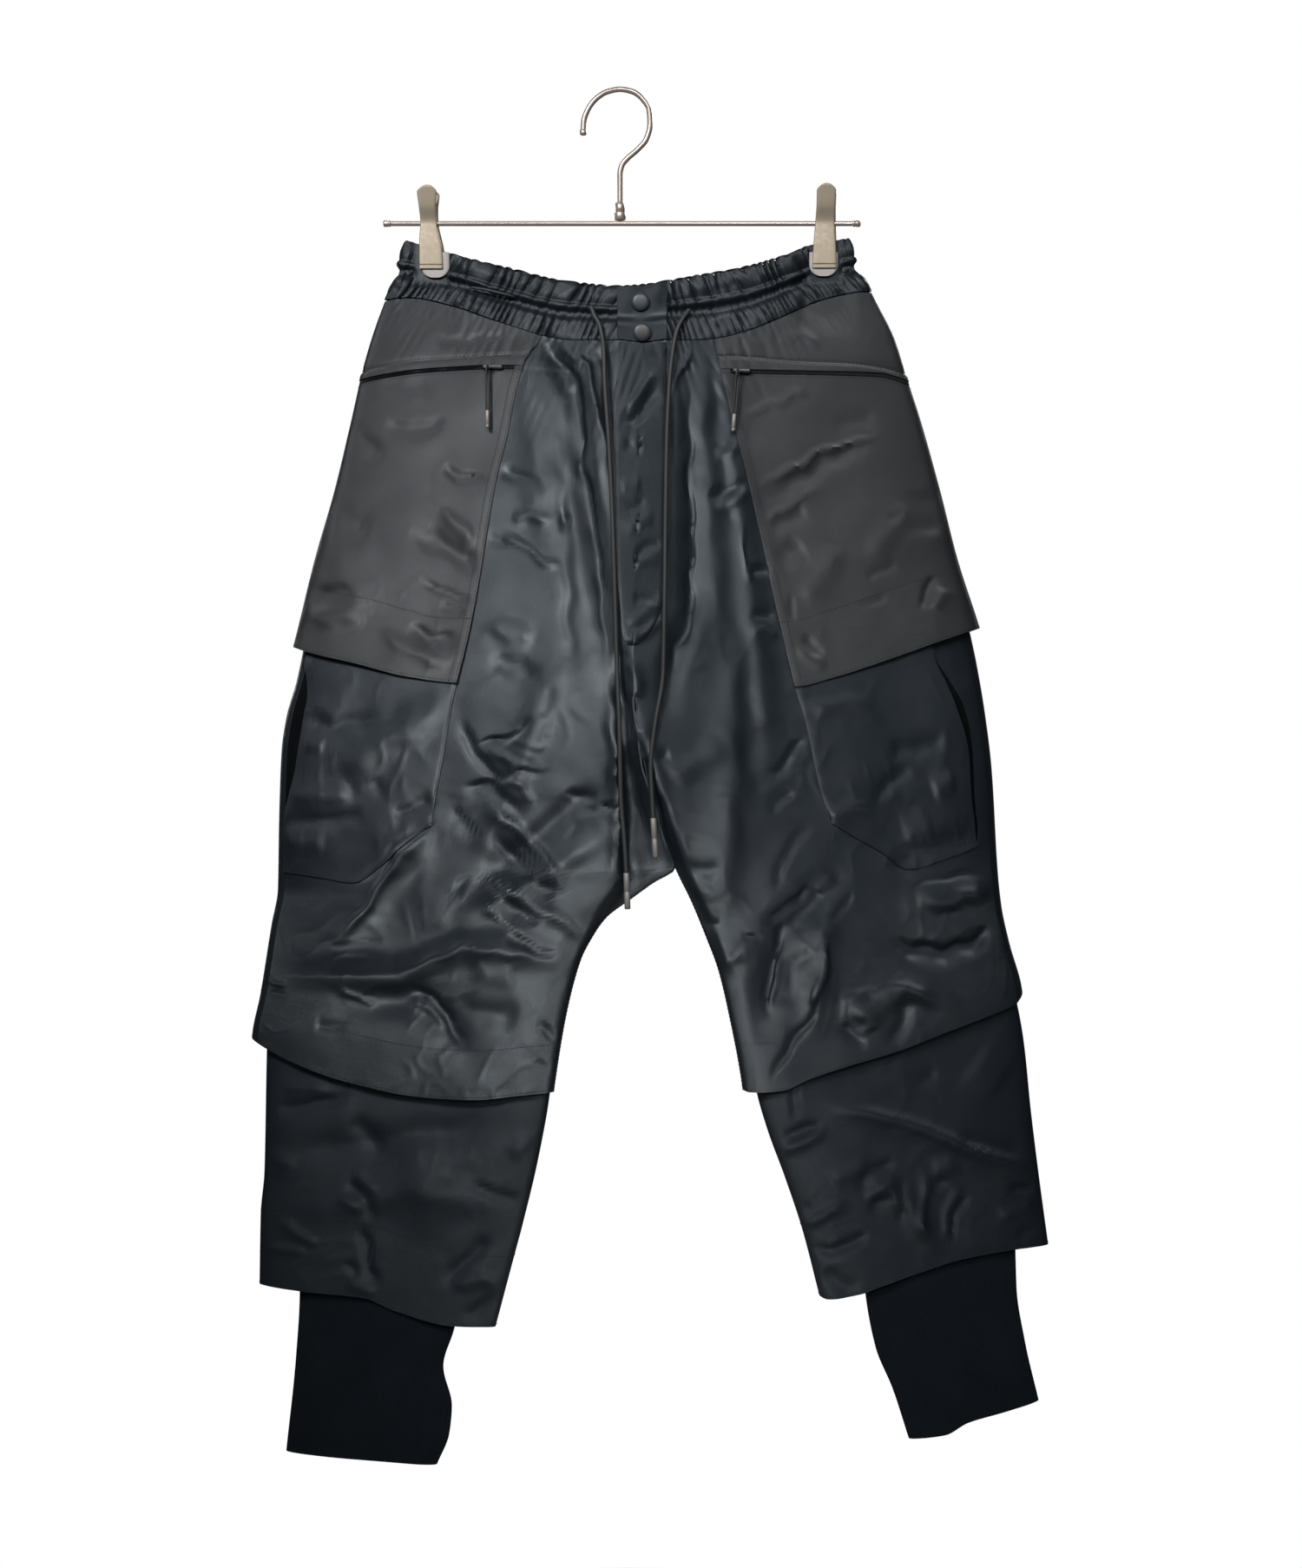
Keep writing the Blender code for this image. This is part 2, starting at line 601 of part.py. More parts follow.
def make_cargo_pocket(side):
    """Second tier: seated at its seams, lifted at the side opening, its top under the hip panel."""
    s, z = front_grid(side)
    rows = slice(row_of("hip_hem") - 1, row_of("pocket") + 1)
    s = s[rows, FRONT_COLUMNS[0]:].copy()
    z = z[rows, FRONT_COLUMNS[0]:].copy()
    around = np.linspace(0.0, 1.0, s.shape[1])[None, :]
    down = np.linspace(0.0, 1.0, s.shape[0])[:, None]
    opened = ease((around - 0.55) / 0.45) * np.sin(math.pi * np.clip(down * 1.15 - 0.15, 0, 1))
    lift = SEAM + 2.6 * opened
    inner = moved_out(body_point, side, s, z, lift)
    outer = moved_out(body_point, side, s, z, lift + CLOTH)
    wall(f"cargo_pocket_{side}", outer, inner, "satin_pocket")


def ring(front, back):
    """Columns once round a sleeve: all of the front's, then the back's between the two seams."""
    return np.concatenate([front, back[:, 1:-1]], 1)


def sleeve_below(side, first_s, first_z, point_at, above_at, lines, counts):
    """Grid and walls of a sleeve whose first rows lie inside the sleeve above, in step with its grid."""
    seat_rows = first_s.shape[0] - 1
    around = first_s[-1]
    heights, row_count = rows_between(side, lines, counts)
    lower_s, lower_z = settle(side, lambda z: np.broadcast_to(around, z.shape), len(around), heights, row_count,
                              point_at)
    s = np.concatenate([first_s, lower_s[1:]])
    z = np.concatenate([first_z, lower_z[1:]])
    seated = 1 - np.clip(np.arange(s.shape[0]) / seat_rows, 0, 1)[:, None, None]

    def wall_at(distance):
        own = moved_out(point_at, side, s, z, np.full(s.shape, distance))
        seat = moved_out(above_at, side, s, z, np.full(s.shape, distance - CLOTH - SEAM))
        return seated * seat + (1 - seated) * own

    return s, z, wall_at


def make_leg(side):
    """Lower leg and rib cuff, each seated inside the sleeve above it."""
    tables = LEG_LEVELS[side]
    hem = line(side, "hem")
    cuff_seam, shin_hem, cuff_hem = (
        lambda x, name=name: smooth_table(tables[name], x) for name in ("cuff_seam", "shin_hem", "cuff_hem"))
    rows = slice(-1 - SEAT_ROWS, None)
    front_s, front_z = front_grid(side)
    back_s, back_z = back_grid(side)
    s, z, shin_wall = sleeve_below(side, ring(front_s[rows], back_s[rows]), ring(front_z[rows], back_z[rows]),
                                   shin_point, body_point, [hem, cuff_seam, shin_hem], (3, 2))
    wall(f"lower_leg_{side}", shin_wall(0.0), shin_wall(-CLOTH), "satin", closed=True)
    seat = slice(-3, None)
    s, z, cuff_wall = sleeve_below(side, s[seat], z[seat], cuff_point, shin_point, [shin_hem, cuff_hem], (4,))
    wall(f"rib_cuff_{side}", cuff_wall(0.0), cuff_wall(-RIB), "rib", closed=True)


def gathered(points, normals, first):
    """Zigzag gathers: neighbouring columns stand out and sink in, less so at the rims, the groove and the clips."""
    columns = np.arange(points.shape[1]) + first
    zigzag = np.where(columns % 2 == 0, 1.0, -1.0)[None, :]
    strength = np.array([row[1] for row in BAND_ROWS])[:, None]
    pressed = clip_press(points[..., 0], points[..., 2])
    flat = ease((pressed - (1 - CLIP_PRESS)) / CLIP_PRESS)
    puff = np.array([row[2] for row in BAND_ROWS])[:, None]
    return points + normals * ((GATHER * zigzag * strength + puff) * (0.1 + 0.9 * flat))[..., None]


def band_side(side, places, counts, rise):
    """Grid of half a band from the top edge to the waist seam, on the body sleeve."""
    columns, column_count = stations(places, counts)
    share = np.array([row[0] for row in BAND_ROWS])[:, None]

    def heights(x):
        middle = ease((1 - np.abs(x - 10) / 190) * 2)
        return (1 - share) * (level(side, "band_top", x) + rise * middle) + share * level(side, "waist", x)

    return settle(side, columns, column_count, heights, len(BAND_ROWS))


def band_walls(side, s, z, first):
    """Outer and inner points of a gathered stretch of band."""
    normals = outward(body_point, side, s, z)
    outer = gathered(body_point(side, s, z), normals, first)
    return outer, outer - normals * BAND


PLACKET = {"l": -2.0, "r": 38.0}


def centre_back(z):
    return np.full(np.shape(z), 3 - 1e-9)


def make_waistband():
    """Two gathered fronts and a gathered back."""
    for side in SIDES:
        edge_gap = SEAM / 2 if side == "r" else -SEAM / 2

        def placket_edge(z, side=side, edge_gap=edge_gap):
            return front_place(side, np.full(np.shape(z), PLACKET[side] + edge_gap), z)

        places = [placket_edge, at_x(side, HIP_SEAM[side]), side_seam(side, -HALF_GAP)]
        s, z = band_side(side, places, (10 if side == "l" else 6, 14), 0.0)
        outer, inner = band_walls(side, s, z, 0)
        wall(f"waistband_front_{side}", outer, inner, "satin")
    halves = []
    for side in SIDES:
        places = [side_seam(side, HALF_GAP), outline, hip_wrap(side), centre_back]
        s, z = band_side(side, places, (1, 8, 15), BACK_RISE)
        halves.append(band_walls(side, s, z, 1))
    outer = np.concatenate([halves[0][0], halves[1][0][:, -2::-1]], 1)
    inner = np.concatenate([halves[0][1], halves[1][1][:, -2::-1]], 1)
    wall("waistband_back", outer, inner, "satin")


def front_surface(x, z, distance):
    """Points over the front of the body at x, z, on the side that x falls on."""
    shape = np.broadcast(x, z).shape
    x = np.broadcast_to(x, shape).astype(float)
    z = np.broadcast_to(z, shape).astype(float)
    centre = smooth_table(BODY_INNER["l"], z)
    found = {}
    for side in SIDES:
        s = np.clip(front_place(side, x, z), -0.999, 0.999)
        found[side] = moved_out(body_point, side, s, z, np.broadcast_to(distance, shape))
    return np.where((x < centre)[..., None], found["l"], found["r"])


def make_placket_and_fly():
    """Smooth stretch of band with the snaps, and the fly shield under it with its J-shaped foot."""
    across = np.linspace(0.0, 1.0, 6)[None, :]
    down = np.array([0.0, 0.5, 0.86, 0.9, 1.0])[:, None]
    ridge = np.array([0.0, 0.0, 0.0, 0.5, 0.0])[:, None]
    x = PLACKET["l"] + SEAM / 2 + (PLACKET["r"] - PLACKET["l"] - SEAM) * across + 0 * down
    foot = np.where(x < 19, level("l", "waist", x), level("r", "waist", x)) + 0.1
    top = np.where(x < 19, level("l", "band_top", x), level("r", "band_top", x))
    z = top + (foot - top) * down
    outer = front_surface(x, z, 1.0 + ridge + 0 * x)
    inner = front_surface(x, z, 1.0 - 2.6 + 0 * x)
    wall("waist_placket", outer, inner, "satin")
    rows = [(-205.6, -1, 38), (-240, -3, 38), (-275, -5, 38), (-310, -5, 38), (-345, -5, 37), (-380, -4, 37),
            (-405, -3, 36), (-425, -1, 32), (-440, 2, 25), (-449, 5, 16)]
    z = np.array([row[0] for row in rows], float)[:, None] - 1.6 * np.sin(math.pi * across) * (down[:1] + 1)
    left = np.array([row[1] for row in rows], float)[:, None]
    right = np.array([row[2] for row in rows], float)[:, None]
    x = left + (right - left) * across
    lift = 0.9
    inner = front_surface(x, z, lift + 0 * x)
    outer = front_surface(x, z, lift + CLOTH + 0 * x)
    wall("fly_front", outer, inner, "satin")


def turned(name, centre, axis, profile, finish, sides=20, pivot=(0, 0, 0)):
    """A turned solid: profile rows are (distance along the axis, radius), closed with flat ends."""
    axis = np.array(axis, float) / np.linalg.norm(axis)
    across = np.cross(axis, (0.0, 1.0, 0.0) if abs(axis[1]) < 0.9 else (1.0, 0.0, 0.0))
    across /= np.linalg.norm(across)
    other = np.cross(axis, across)
    points = []
    for along, radius in profile:
        for number in range(sides):
            turn = 2 * math.pi * number / sides
            spoke = across * math.cos(turn) + other * math.sin(turn)
            points.append(np.array(centre, float) + axis * along + spoke * radius)
    faces = []
    for row in range(len(profile) - 1):
        for number in range(sides):
            a = row * sides + number
            b = row * sides + (number + 1) % sides
            faces += [(a, b, b + sides), (a, b + sides, a + sides)]
    points.append(np.array(centre, float) + axis * profile[0][0])
    points.append(np.array(centre, float) + axis * profile[-1][0])
    start = len(points) - 2
    end = (len(profile) - 1) * sides
    for number in range(sides):
        after = (number + 1) % sides
        faces += [(start, after, number), (start + 1, end + number, end + after)]
    return add_mesh(name, points, faces, finish, pivot)


def make_snaps():
    """Two domed snap caps on the placket."""
    profile = [(0.0, 6.6), (0.5, 7.25), (1.3, 7.25), (1.9, 6.7), (2.3, 5.2), (2.6, 2.6)]
    for name, x, z in (("snap_upper", 16.8, -172.6), ("snap_lower", 18.2, -197.6)):
        base = front_surface(np.array([x]), np.array([z]), np.array([0.0]))[0]
        rim = front_surface(np.full(3, x), z + np.array([-7.0, 0.0, 7.0]), np.full(3, 1.6))
        y = rim[:, 1].min() - SEAM
        turned(name, (base[0], y, z), (0, -1, 0), profile, "snap")


def smooth_route(route, spacing):
    """Points every `spacing` along a smooth curve through the route's points."""
    route = np.array(route, float)
    steps = np.linalg.norm(np.diff(route, axis=0), axis=1)
    lengths = np.concatenate([[0.0], np.cumsum(steps)])
    count = max(2, int(round(lengths[-1] / spacing)) + 1)
    at = np.linspace(0.0, lengths[-1], count)
    return np.stack([smooth_table(list(zip(lengths, route[:, axis])), at) for axis in range(3)], -1)


def tube(name, points, radius, finish, closed=False, pivot=(0, 0, 0)):
    """A cord or wire: a POLY curve with a round bevel and filled ends."""
    curve = bpy.data.curves.new(name, "CURVE")
    curve.dimensions = "3D"
    curve.bevel_depth = radius * MM
    curve.bevel_resolution = 2
    curve.use_fill_caps = True
    spline = curve.splines.new("POLY")
    spline.points.add(len(points) - 1)
    spline.use_cyclic_u = closed
    for point, at in zip(spline.points, (np.asarray(points) - np.array(pivot)) * MM):
        point.co = (*at, 1.0)
    curve.materials.append(new_material(finish))
    made = bpy.data.objects.new(name, curve)
    made.location = np.array(pivot) * MM
    bpy.context.scene.collection.objects.link(made)
    return made


CORD_RADIUS = 1.9
CORD_STEP = 10.5
TIP_RADIUS = 2.4

# Drawcord routes from the band's eyelets down the front: (x, z, clearance over the cloth)
CORD_ROUTES = {
    "l": [(-23, -177, 0.6), (-21, -183, 2.4), (-16, -193, 3.4), (-13, -212, 3.4), (-12, -240, 3.4),
          (-9, -283, 3.4), (-6, -341, 3.4), (-4, -400, 3.4), (-2, -472, 2.6), (0, -523, 2.4), (1, -572, 2.5),
          (4, -610, 4.0), (5.4, -633.5, 5.0)],
    "r": [(56, -179, -0.4), (50, -188, 2.4), (46, -197, 3.4), (43, -212, 3.6), (40, -240, 3.6), (38, -283, 3.6),
          (37, -341, 3.6), (36, -422, 3.6), (35, -472, 2.6), (28, -518, 2.4), (25, -547, 2.4), (26, -572, 2.4),
          (27, -589.5, 3.0)],
}
# The small loop that lies in the band's groove: (x, z, rise of its centre line over the body)
LOOP_ROUTE = [(-120, -160.5, 0.6), (-116, -161.5, 2.8), (-108, -163, 3.7), (-98, -165.5, 3.7), (-89, -167.5, 2.8),
              (-86, -168.3, 0.6)]
CORD_TIPS = {
    "l": ((5.4, -633.8), (6.4, -663.0)),
    "r": ((27.0, -589.8), (29.0, -621.6)),
}


def cord_route(side):
    """Route points of a drawcord's centre line in front of the cloth."""
    rows = np.array(CORD_ROUTES[side], float)
    offsets = np.array([-3.0, 0.0, 3.0])
    depth = np.array([front_surface(x + offsets, np.full(3, z), np.zeros(3))[:, 1].min() for x, z, _gap in rows])
    depth = np.minimum.accumulate(depth)
    return np.stack([rows[:, 0], depth - CORD_RADIUS - rows[:, 2], rows[:, 1]], -1)


def make_cords():
    """Drawcord ends, their tips and the small loop on the band."""
    for side in SIDES:
        route = cord_route(side)
        tube(f"drawcord_{side}", smooth_route(route, CORD_STEP), CORD_RADIUS, "cord")
        (x_top, z_top), (x_foot, z_foot) = CORD_TIPS[side]
        top = np.array([x_top, route[-1, 1], z_top])
        foot = np.array([x_foot, route[-1, 1], z_foot])
        length = np.linalg.norm(foot - top)
        profile = [(0.0, TIP_RADIUS - 0.4), (0.6, TIP_RADIUS), (length * 0.52, TIP_RADIUS),
                   (length * 0.54, TIP_RADIUS - 0.3), (length * 0.56, TIP_RADIUS), (length - 0.6, TIP_RADIUS),
                   (length, TIP_RADIUS - 0.6)]
        turned(f"cord_tip_{side}", top, foot - top, profile, "tip", sides=14)
    points = [front_surface(np.array([x]), np.array([z]), np.array([rise]))[0] for x, z, rise in LOOP_ROUTE]
    tube("cord_loop", smooth_route(points, 3.0), 1.1, "cord")


# Zip sliders: x of the pull's hinge, x of the slider's two ends, slant of the hanging pull
ZIPS = {
    "l": {"hinge": -106.5, "ends": (-110.5, -94.5), "slant": 0.0},
    "r": {"hinge": 95.0, "ends": (91.0, 105.5), "slant": -2.6},
}
HINGE_STAND = 3.1
SLIDER_THICK = 2.2
SLIDER_HALF_HEIGHT = 2.7
CROWN_WIRE = 0.55
CROWN_PLAY = 0.35
PULL_CORD = 0.75
PULL_LENGTH = 33.0


def slider_frame(side):
    """Centre of the slider's top face, with the zip's direction along it and the way out of the cloth."""
    first, last = ZIPS[side]["ends"]
    x = np.array([first, (first + last) / 2, last])
    z = level(side, "zip_low", x) + ZIP_SLOT / 2
    top = front_surface(x, z, np.full(3, SEAM + WELT + SEAM))
    return top


def make_zip_hardware(side):
    """Slider with a bar across its crown, and the swinging pull: a cord round the bar and a tip."""
    top = slider_frame(side)
    along = (top[2] - top[0]) / np.linalg.norm(top[2] - top[0])
    out = np.array([0.0, -1.0, 0.0])
    down = np.cross(along, out)
    if down[2] > 0:
        down = -down
    out = np.cross(down, along)
    if out[1] > 0:
        out = -out
    half_length = np.linalg.norm(top[2] - top[0]) / 2
    outline = [(-1.0, 0.55), (-0.8, 0.95), (0.3, 1.0), (1.0, 0.62)]
    base = []
    for share, height in outline + [(a, -b) for a, b in reversed(outline)]:
        base.append(top[1] + along * share * half_length + down * height * SLIDER_HALF_HEIGHT)
    count = len(base)
    points = base + [p + out * SLIDER_THICK for p in base]
    faces = [(0, i, i + 1) for i in range(1, count - 1)]
    faces += [(count, count + i + 1, count + i) for i in range(1, count - 1)]
    for i in range(count):
        j = (i + 1) % count
        faces += [(i, count + i, count + j), (i, count + j, j)]
    slider = add_mesh(f"zip_slider_{side}", points, faces, "zip")
    pivot = zip_pivot(side)
    foot = out * (HINGE_STAND + 1.0)
    bend = out * 0.6
    leg = along * 3.0
    top_end = along * 2.4
    crown = [pivot + leg - foot, pivot + leg - bend, pivot + top_end, pivot - top_end, pivot - leg - bend,
             pivot - leg - foot]
    bar = tube(f"crown_{side}", crown, CROWN_WIRE, "zip")
    join(slider, bar)
    make_pull(side, pivot)


def zip_pivot(side):
    """Centre of the crown's bar, which is the pull's hinge."""
    top = slider_frame(side)
    x = ZIPS[side]["hinge"]
    share = (x - top[0][0]) / (top[2][0] - top[0][0])
    foot = top[0] + (top[2] - top[0]) * share
    return foot + np.array([0.0, -SLIDER_THICK - HINGE_STAND, -1.2])


def join(solid, addition):
    """Adds a second closed shape to a solid with an exact union."""
    graph = bpy.context.evaluated_depsgraph_get()
    graph.update()
    mesh = bpy.data.meshes.new_from_object(addition.evaluated_get(graph))
    cutter = bpy.data.objects.new(addition.name + "_mesh", mesh)
    bpy.context.scene.collection.objects.link(cutter)
    bpy.data.objects.remove(addition)
    cutter.hide_render = True
    cutter.display_type = "WIRE"
    union = solid.modifiers.new("union", "BOOLEAN")
    union.operation = "UNION"
    union.solver = "EXACT"
    union.object = cutter


def make_pull(side, pivot):
    """A cord looped round the crown's bar, hanging straight down, with a metal tip at its foot."""
    slant = ZIPS[side]["slant"]
    wrap = CROWN_WIRE + CROWN_PLAY + PULL_CORD
    spread = 1.0
    strand = []
    for share in (1.0, 0.75, 0.5, 0.3):
        strand.append((-spread * min(1.0, 0.6 + share), -wrap * 0.35 * (1 - share), -PULL_LENGTH * share))
    loop = strand + [(-0.9, -wrap * 0.8, -4.0), (-0.85, -wrap, -1.2)]
    for number in range(1, 6):
        turn = math.pi * number / 6
        loop.append((-0.85 + 1.7 * number / 6, -wrap * math.cos(turn), wrap * math.sin(turn)))
    loop += [(0.85, wrap, -1.2), (0.9, wrap * 0.8, -4.0)]
    loop += [(-x, -y, z) for x, y, z in reversed(strand)]
    points = [pivot + np.array([x + slant * -z / PULL_LENGTH, y, z]) for x, y, z in loop]
    tube(f"zip_pull_cord_{side}", points, PULL_CORD, "cord", closed=True, pivot=pivot)
    top = pivot + np.array([slant, 0.0, -PULL_LENGTH - PULL_CORD - SEAM])
    profile = [(0.0, 1.3), (0.5, 1.7), (11.5, 1.7), (11.8, 1.4), (12.1, 1.6), (14.0, 1.5), (14.4, 1.1)]
    turned(f"zip_pull_tip_{side}", top, (slant * 0.03, 0, -1), profile, "tip", sides=12, pivot=pivot)


def make_hanger():
    """Wire hook in a ferrule, the bar with its end caps, and two clips."""
    hook = [(-30, -32), (-29.5, -24), (-26, -14), (-19, -5), (-10, 0.4), (0, 2.25), (10, 0.4), (18.5, -6),
            (23.6, -15), (24.4, -26), (21.5, -38), (14, -47), (6, -54), (1.4, -60), (0.0, -67), (0.0, -78),
            (0.0, -89.5)]
    tube("hanger_hook", smooth_route([(x, 0.0, z) for x, z in hook], 6.0), HOOK_WIRE, "chrome")
    ferrule = [(0.0, 3.4), (0.5, 3.8), (8.0, 3.8), (8.4, 4.6), (13.6, 4.6), (14.4, 4.0)]
    turned("hanger_ferrule", (0, 0, -89.8), (0, 0, -1), ferrule, "chrome")
    length = BAR_RIGHT - BAR_LEFT
    bar = [(0.0, BAR_RADIUS), (length * 0.2, BAR_RADIUS), (length * 0.5, BAR_RADIUS), (length * 0.8, BAR_RADIUS),
           (length, BAR_RADIUS)]
    turned("hanger_bar", (BAR_LEFT, 0, BAR_Z), (1, 0, 0), bar, "chrome", sides=14)
    cap = [(0.0, 2.3), (0.4, 2.6), (5.6, 2.6), (6.4, 1.6)]
    turned("bar_cap_l", (BAR_LEFT - SEAM, 0, BAR_Z), (-1, 0, 0), cap, "chrome", sides=14)
    turned("bar_cap_r", (BAR_RIGHT + SEAM, 0, BAR_Z), (1, 0, 0), cap, "chrome", sides=14)
    for side in SIDES:
        make_clip(side)


# Clip plates: (height z, x of the left edge, x of the right edge, distance of the outer face from the bar)
CLIP_ROWS = {
    "l": [(-77.4, -160.0, -152.5, 11.0), (-79.0, -163.0, -149.5, 10.8), (-82.0, -164.5, -148.4, 10.2),
          (-94.0, -163.2, -149.4, 7.8), (-107.0, -162.2, -148.8, 3.4), (-118.0, -162.8, -146.6, 5.5),
          (-127.0, -163.0, -144.6, 6.2), (-142.0, -162.8, -143.6, 6.6), (-144.4, -162.8, -143.6, 6.0)],
    "r": [(-76.0, 163.5, 171.5, 11.0), (-77.6, 160.8, 174.2, 10.8), (-80.6, 159.6, 175.2, 10.2),
          (-93.0, 159.4, 174.6, 7.8), (-107.0, 158.6, 174.4, 3.4), (-118.0, 157.6, 174.9, 5.5),
          (-127.0, 156.8, 175.3, 6.2), (-141.4, 156.2, 175.8, 6.6), (-143.8, 156.2, 175.8, 6.0)],
}
PLATE = 1.1
PAD_EDGES = {"l": (-161.3, -138.6, -151.6), "r": (153.8, 176.8, -150.4)}


def make_clip(side):
    """Front and back jaw, and the light pad between the front jaw and the cloth."""
    across = np.array([0.0, 0.12, 0.5, 0.88, 1.0])[None, :]
    bulge = np.array([0.5, 0.1, 0.0, 0.1, 0.5])[None, :]
    rows = np.array(CLIP_ROWS[side], float)
    z, left, right, away = (rows[:, column][:, None] for column in range(4))
    x = left + (right - left) * across
    for name, face, aside in (("clip_front", -1.0, 0.0), ("clip_back", 1.0, 1.2)):
        outer = np.stack([x + aside, face * (away - bulge), z + 0 * x], -1)
        inner = np.stack([x + aside, face * (away - PLATE + 0 * x), z + 0 * x], -1)
        wall(f"{name}_{side}", outer, inner, "clip")
    low_left, low_right, foot = PAD_EDGES[side]
    rows = [(-131.0, 1.5), (-132.5, 0.0), (-145.0, 0.0), (foot + 1.6, 1.2), (foot, 4.0)]
    z = np.array([row[0] for row in rows])[:, None]
    inset = np.array([row[1] for row in rows])[:, None]
    x = low_left + inset + (low_right - low_left - 2 * inset) * across
    outer = np.stack([x, -4.9 + 0 * x, z + 0 * x], -1)
    inner = np.stack([x, -3.7 + 0 * x, z + 0 * x], -1)
    wall(f"clip_pad_{side}", outer, inner, "pad")


def main():
    for made in list(bpy.data.objects):
        bpy.data.objects.remove(made)
    for side in SIDES:
        make_body(side)
        make_hip(side)
        make_cargo_pocket(side)
        make_leg(side)
        make_zip_hardware(side)
    make_waistband()
    make_placket_and_fly()
    make_snaps()
    make_cords()
    make_hanger()


main()
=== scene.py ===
# %% [markdown]
# # Black satin cargo trousers on a clip hanger
# The trousers are cut from a heavy black satin: a smooth face that shines softly along its folds. Two tiers of
# pockets, a flared hem over a narrower lower leg, and rib cuffs lie over each other like shingles. We dress the
# imported solids with fine cloth. Every cloth piece is a thin shell on the form of its solid, with the creases of
# the hanging garment placed one by one.

# %% Load the solids
import math

import bpy
import numpy as np
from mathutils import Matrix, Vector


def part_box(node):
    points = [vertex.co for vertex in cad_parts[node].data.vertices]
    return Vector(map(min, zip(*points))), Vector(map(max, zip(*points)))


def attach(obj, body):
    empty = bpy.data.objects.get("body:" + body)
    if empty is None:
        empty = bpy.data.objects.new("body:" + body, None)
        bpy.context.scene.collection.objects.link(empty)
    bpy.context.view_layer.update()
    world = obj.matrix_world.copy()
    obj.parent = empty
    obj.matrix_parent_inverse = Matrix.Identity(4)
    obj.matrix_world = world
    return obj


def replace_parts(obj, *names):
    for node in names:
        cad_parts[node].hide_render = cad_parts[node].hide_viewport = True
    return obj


MM = 0.001
TROUSERS = "trousers_on_hanger"
SIDES = ("l", "r")
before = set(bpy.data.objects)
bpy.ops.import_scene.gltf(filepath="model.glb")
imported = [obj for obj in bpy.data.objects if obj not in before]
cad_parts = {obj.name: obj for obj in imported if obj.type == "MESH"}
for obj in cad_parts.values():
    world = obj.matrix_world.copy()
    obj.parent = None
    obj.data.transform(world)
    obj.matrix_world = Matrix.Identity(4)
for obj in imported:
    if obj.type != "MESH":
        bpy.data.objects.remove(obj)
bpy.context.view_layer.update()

# %% [markdown]
# ## Camera
# The trousers hang flat and are seen square on, from about the height of their middle. A long lens from 2.4 m
# keeps the sides from leaning. The picture is 1500 by 1806, and 0.7 mm of cloth falls on each pixel.

# %% Camera
PIXEL = 0.7
PICTURE_HEIGHT = 1806
SENSOR_HEIGHT = 24.0
DISTANCE = 2400
CAMERA_PLACE = (0.0252, -2.42, -0.5625)


def put_in_scene(name, data):
    """A new object that holds the data, placed in the scene."""
    made = bpy.data.objects.new(name, data)
    bpy.context.scene.collection.objects.link(made)
    return made


camera_data = bpy.data.cameras.new("camera")
camera_data.sensor_fit = "VERTICAL"
camera_data.sensor_height = SENSOR_HEIGHT
camera_data.lens = SENSOR_HEIGHT * DISTANCE / (PICTURE_HEIGHT * PIXEL)
camera = put_in_scene("camera", camera_data)
camera.location = CAMERA_PLACE
camera.rotation_euler = (math.pi / 2, 0.0, 0.0)
bpy.context.scene.camera = camera
print("lens", round(camera_data.lens, 2), "mm")

# %% [markdown]
# ## Floor and light
# A hanging garment needs no backdrop. A pale disc under it is the floor, and the sky is white to the eye but dim
# as a light, so that the satin keeps its darks. Three lamps in front have narrow beams, each on its own part: the
# strongest comes from high on the left, a weaker one from high on the right, the weakest lights the lower legs.
# Two with broad beams stand behind and show the back.

# %% Floor
FLOOR_Z = -1.45
FLOOR_RADIUS = 0.95
FLOOR_CORNERS = 96


def new_finish(name):
    """A new material, with its node tree and its shader."""
    material = bpy.data.materials.new(name)
    material.use_nodes = True
    tree = material.node_tree
    return material, tree, tree.nodes["Principled BSDF"]


floor_points = [(FLOOR_RADIUS * math.cos(turn), FLOOR_RADIUS * math.sin(turn), FLOOR_Z)
                for turn in np.linspace(0, 2 * math.pi, FLOOR_CORNERS, endpoint=False)]
floor_mesh = bpy.data.meshes.new("floor")
floor_mesh.from_pydata(floor_points, [], [list(range(FLOOR_CORNERS))])
floor = put_in_scene("floor", floor_mesh)
floor_paint, _tree, floor_shader = new_finish("floor_paint")
floor_shader.inputs["Base Color"].default_value = (0.9, 0.9, 0.9, 1)
floor_shader.inputs["Roughness"].default_value = 0.8
floor_mesh.materials.append(floor_paint)
print("floor at z =", FLOOR_Z)


# %% Sky and lamps
LAMPS = {  # where it stands, where it looks, its size in metres, its power in watts, its beam in degrees
    "key": ((-0.95, -1.7, 0.85), (-0.16, 0.0, -0.27), 0.5, 2.9, 39.0),
    "fill": ((0.30, -1.9, 0.80), (0.20, 0.0, -0.25), 0.5, 1.1, 34.0),
    "low": ((0.45, -2.2, 0.10), (0.06, 0.0, -1.00), 0.5, 0.6, 28.0),
    "behind": ((0.9, 1.8, 0.75), (0.1, 0.0, -0.45), 0.7, 11, 100.0),
    "behind_low": ((-0.9, 2.0, 0.0), (0.0, 0.0, -0.7), 0.7, 4, 100.0),
}


def join(tree, *links):
    """Links nodes: each link says a node, its output, the next node and its input."""
    for source, output, target, entry in links:
        tree.links.new(source.outputs[output], target.inputs[entry])


